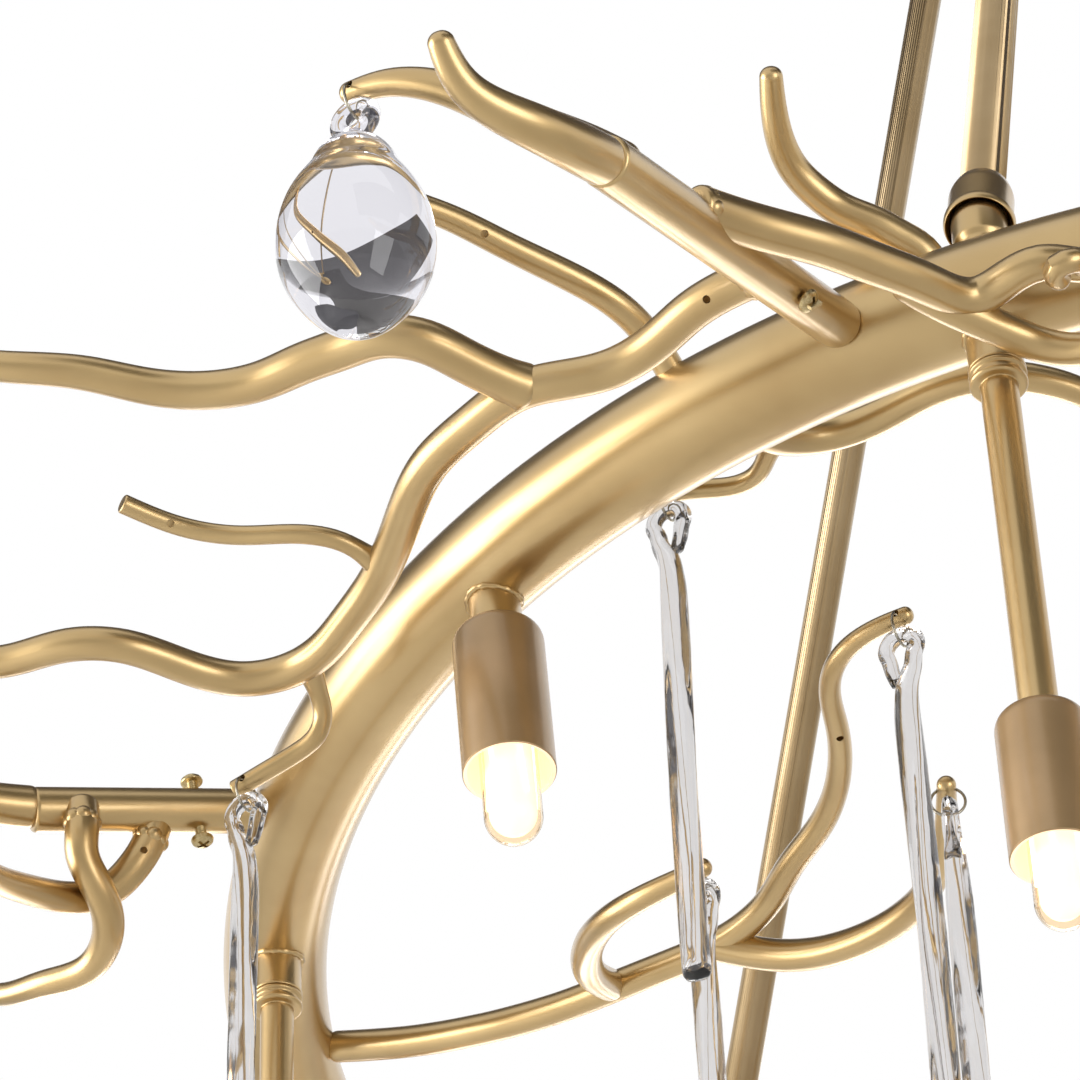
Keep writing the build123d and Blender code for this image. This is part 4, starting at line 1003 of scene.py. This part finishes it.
screwGroups = [
    {"headings": longHeadings, "tilt": tilts["long"], "setback": 40, "turn": 40, "head": 8.6},
    {"headings": shortHeadings, "tilt": tilts["short"], "setback": 21, "turn": 0, "head": 12},
]
screwParts = []
for group in screwGroups:
    turn = math.radians(group["turn"])
    spots, axes = [], []
    for heading in group["headings"]:
        root = turnedBy(heading) @ sleeveFrame(group["tilt"])
        for side in (-1, 1):
            spots.append(root @ Vector((0, 0, ring["tube"] + group["setback"])))
            axes.append(root.to_3x3() @ Vector((side * math.cos(turn), side * math.sin(turn), 0)))
    screwParts.append(fittedCopies(panScrew(group["head"]), spots, axes, 5, screwBrass))
finished("sleeve_screws_turned", screwParts, "sleeve_screws", slot="brass_screw", sharp=30)
print("drops, rings and screws made")

# Ceiling hardware and rods: merged copies of the CAD nodes, shaded smooth
for node, making, body, slot, material in (
        ("ceiling_bracket", "plated", "ceiling", "zinc_steel", zincPlate),
        ("canopy", "spun", "ceiling", "canopy_paint", canopyPaint),
        ("canopy_screws", "turned", "ceiling", "brass_screw", screwBrass),
        ("swivel_stem", "brushed", "fixture", "brushed_rod", rodMetal),
        ("hub", "painted", "fixture", "gold_paint", goldPaint),
        ("hub_pins", "turned", "fixture", "brass_screw", screwBrass),
        *((f"suspension_rod_{i}", "brushed", "fixture", "brushed_rod", rodMetal)
          for i in (1, 2, 3))):
    bm = bmesh.new()
    bm.from_mesh(nodes[node].data)
    bmesh.ops.remove_doubles(bm, verts=bm.verts, dist=0.002 * mm)
    mesh = meshFrom(bm, node)
    mesh.materials.append(material)
    for polygon in mesh.polygons:
        polygon.material_index = 0
    dressed(f"{node}_{making}", mesh, body, [node], 30)
print("ceiling hardware and rods made")

# Camera: below the ring, looking up, with its place in millimetres from the ring's middle
view = {"out": (-295.5, -1476.7, -1047.0), "turn": 22.3, "pitch": 0.711, "roll": -0.0393,
        "lens": 161.33}
side = Vector((1, 0, 0))
ahead = Vector((0, math.cos(view["pitch"]), math.sin(view["pitch"])))
over = side.cross(ahead)
c, s = math.cos(view["roll"]), math.sin(view["roll"])
rolled = Matrix((side * c + over * s, over * c - side * s, -ahead)).transposed()
spin = turnedBy(view["turn"]).to_3x3()
stance = (spin @ rolled).to_4x4()
stance.translation = (spin @ Vector(view["out"]) + Vector((0, 0, ringHeight))) * mm
camera = standing("camera", bpy.data.cameras.new("camera"))
camera.data.lens = view["lens"]
camera.data.sensor_width = 36
camera.data.clip_start, camera.data.clip_end = 0.05, 60
camera.matrix_world = stance
bpy.context.scene.camera = camera


def softbox(name, place, aim, size, power):
    light = bpy.data.lights.new(name, "AREA")
    light.shape = "RECTANGLE"
    light.size, light.size_y = size
    light.energy = power
    standing(name, light).matrix_world = aimed(place, Vector(aim) - Vector(place), "-Z")


middle = (0, 0, ringHeight * mm)
softbox("keyBox", (-2.7, -1.5, -1.25), middle, (2.2, 2.0), 74)
softbox("fillBox", (2.3, -1.6, -1.9), middle, (1.4, 1.4), 22)
softbox("backBox", (-1.2, 3.0, -1.2), middle, (2.2, 1.4), 40)

# a plain white room that the eye, metal and glass see, and that lights a little less
world = bpy.data.worlds.new("studio")
bpy.context.scene.world = world
world.use_nodes = True
tree = world.node_tree
tree.nodes.clear()
path = addNode(tree, "ShaderNodeLightPath")
seen = addNode(tree, "ShaderNodeMath", {0: path.outputs["Is Camera Ray"],
                                       1: path.outputs["Is Glossy Ray"]}, operation="MAXIMUM")
seenAll = addNode(tree, "ShaderNodeMath", {0: seen.outputs[0],
                                          1: path.outputs["Is Transmission Ray"]},
                  operation="MAXIMUM")
level = addNode(tree, "ShaderNodeMapRange", {"Value": seenAll.outputs[0], "To Min": 0.7,
                                            "To Max": 1.0})
sky = addNode(tree, "ShaderNodeBackground", {"Color": (1, 1, 1, 1),
                                            "Strength": level.outputs["Result"]})
addNode(tree, "ShaderNodeOutputWorld", {"Surface": sky.outputs["Background"]})


def stageCard(name, place, aim, size, colour, shown=False, gloss=True):
    bm = bmesh.new()
    bmesh.ops.create_grid(bm, x_segments=1, y_segments=1, size=0.5)
    mesh = meshFrom(bm, name)
    turn = aimed(place, Vector(aim) - Vector(place), "-Z")
    mesh.transform(turn @ Matrix.Diagonal((*size, 1, 1)))
    material, cardTree = newMaterial(name + "Paint")
    shader = addNode(cardTree, "ShaderNodeBsdfPrincipled", {
        "Base Color": linear(colour), "Roughness": 0.9})
    shadeWith(cardTree, shader)
    mesh.materials.append(material)
    card = standing(name, mesh)
    card.visible_camera = shown
    card.visible_glossy = gloss


stageCard("floor", (0, 0, -2.7), (0, 0, -3.7), (60, 60), "#efeeec", True)
stageCard("ceilingFlag", (0, 0.2, 1.4), (0, 0.2, 0), (9, 2.2), "#4a484a")
stageCard("roomShade", (-0.6, -2.0, 1.3), (-0.3, -0.9, 0), (3.2, 2.2), "#48474c", gloss=False)
stageCard("rightFlag", (2.4, -2.2, 0.6), middle, (3.4, 2.4), "#6a6866")
bpy.context.scene.view_settings.view_transform = "Standard"
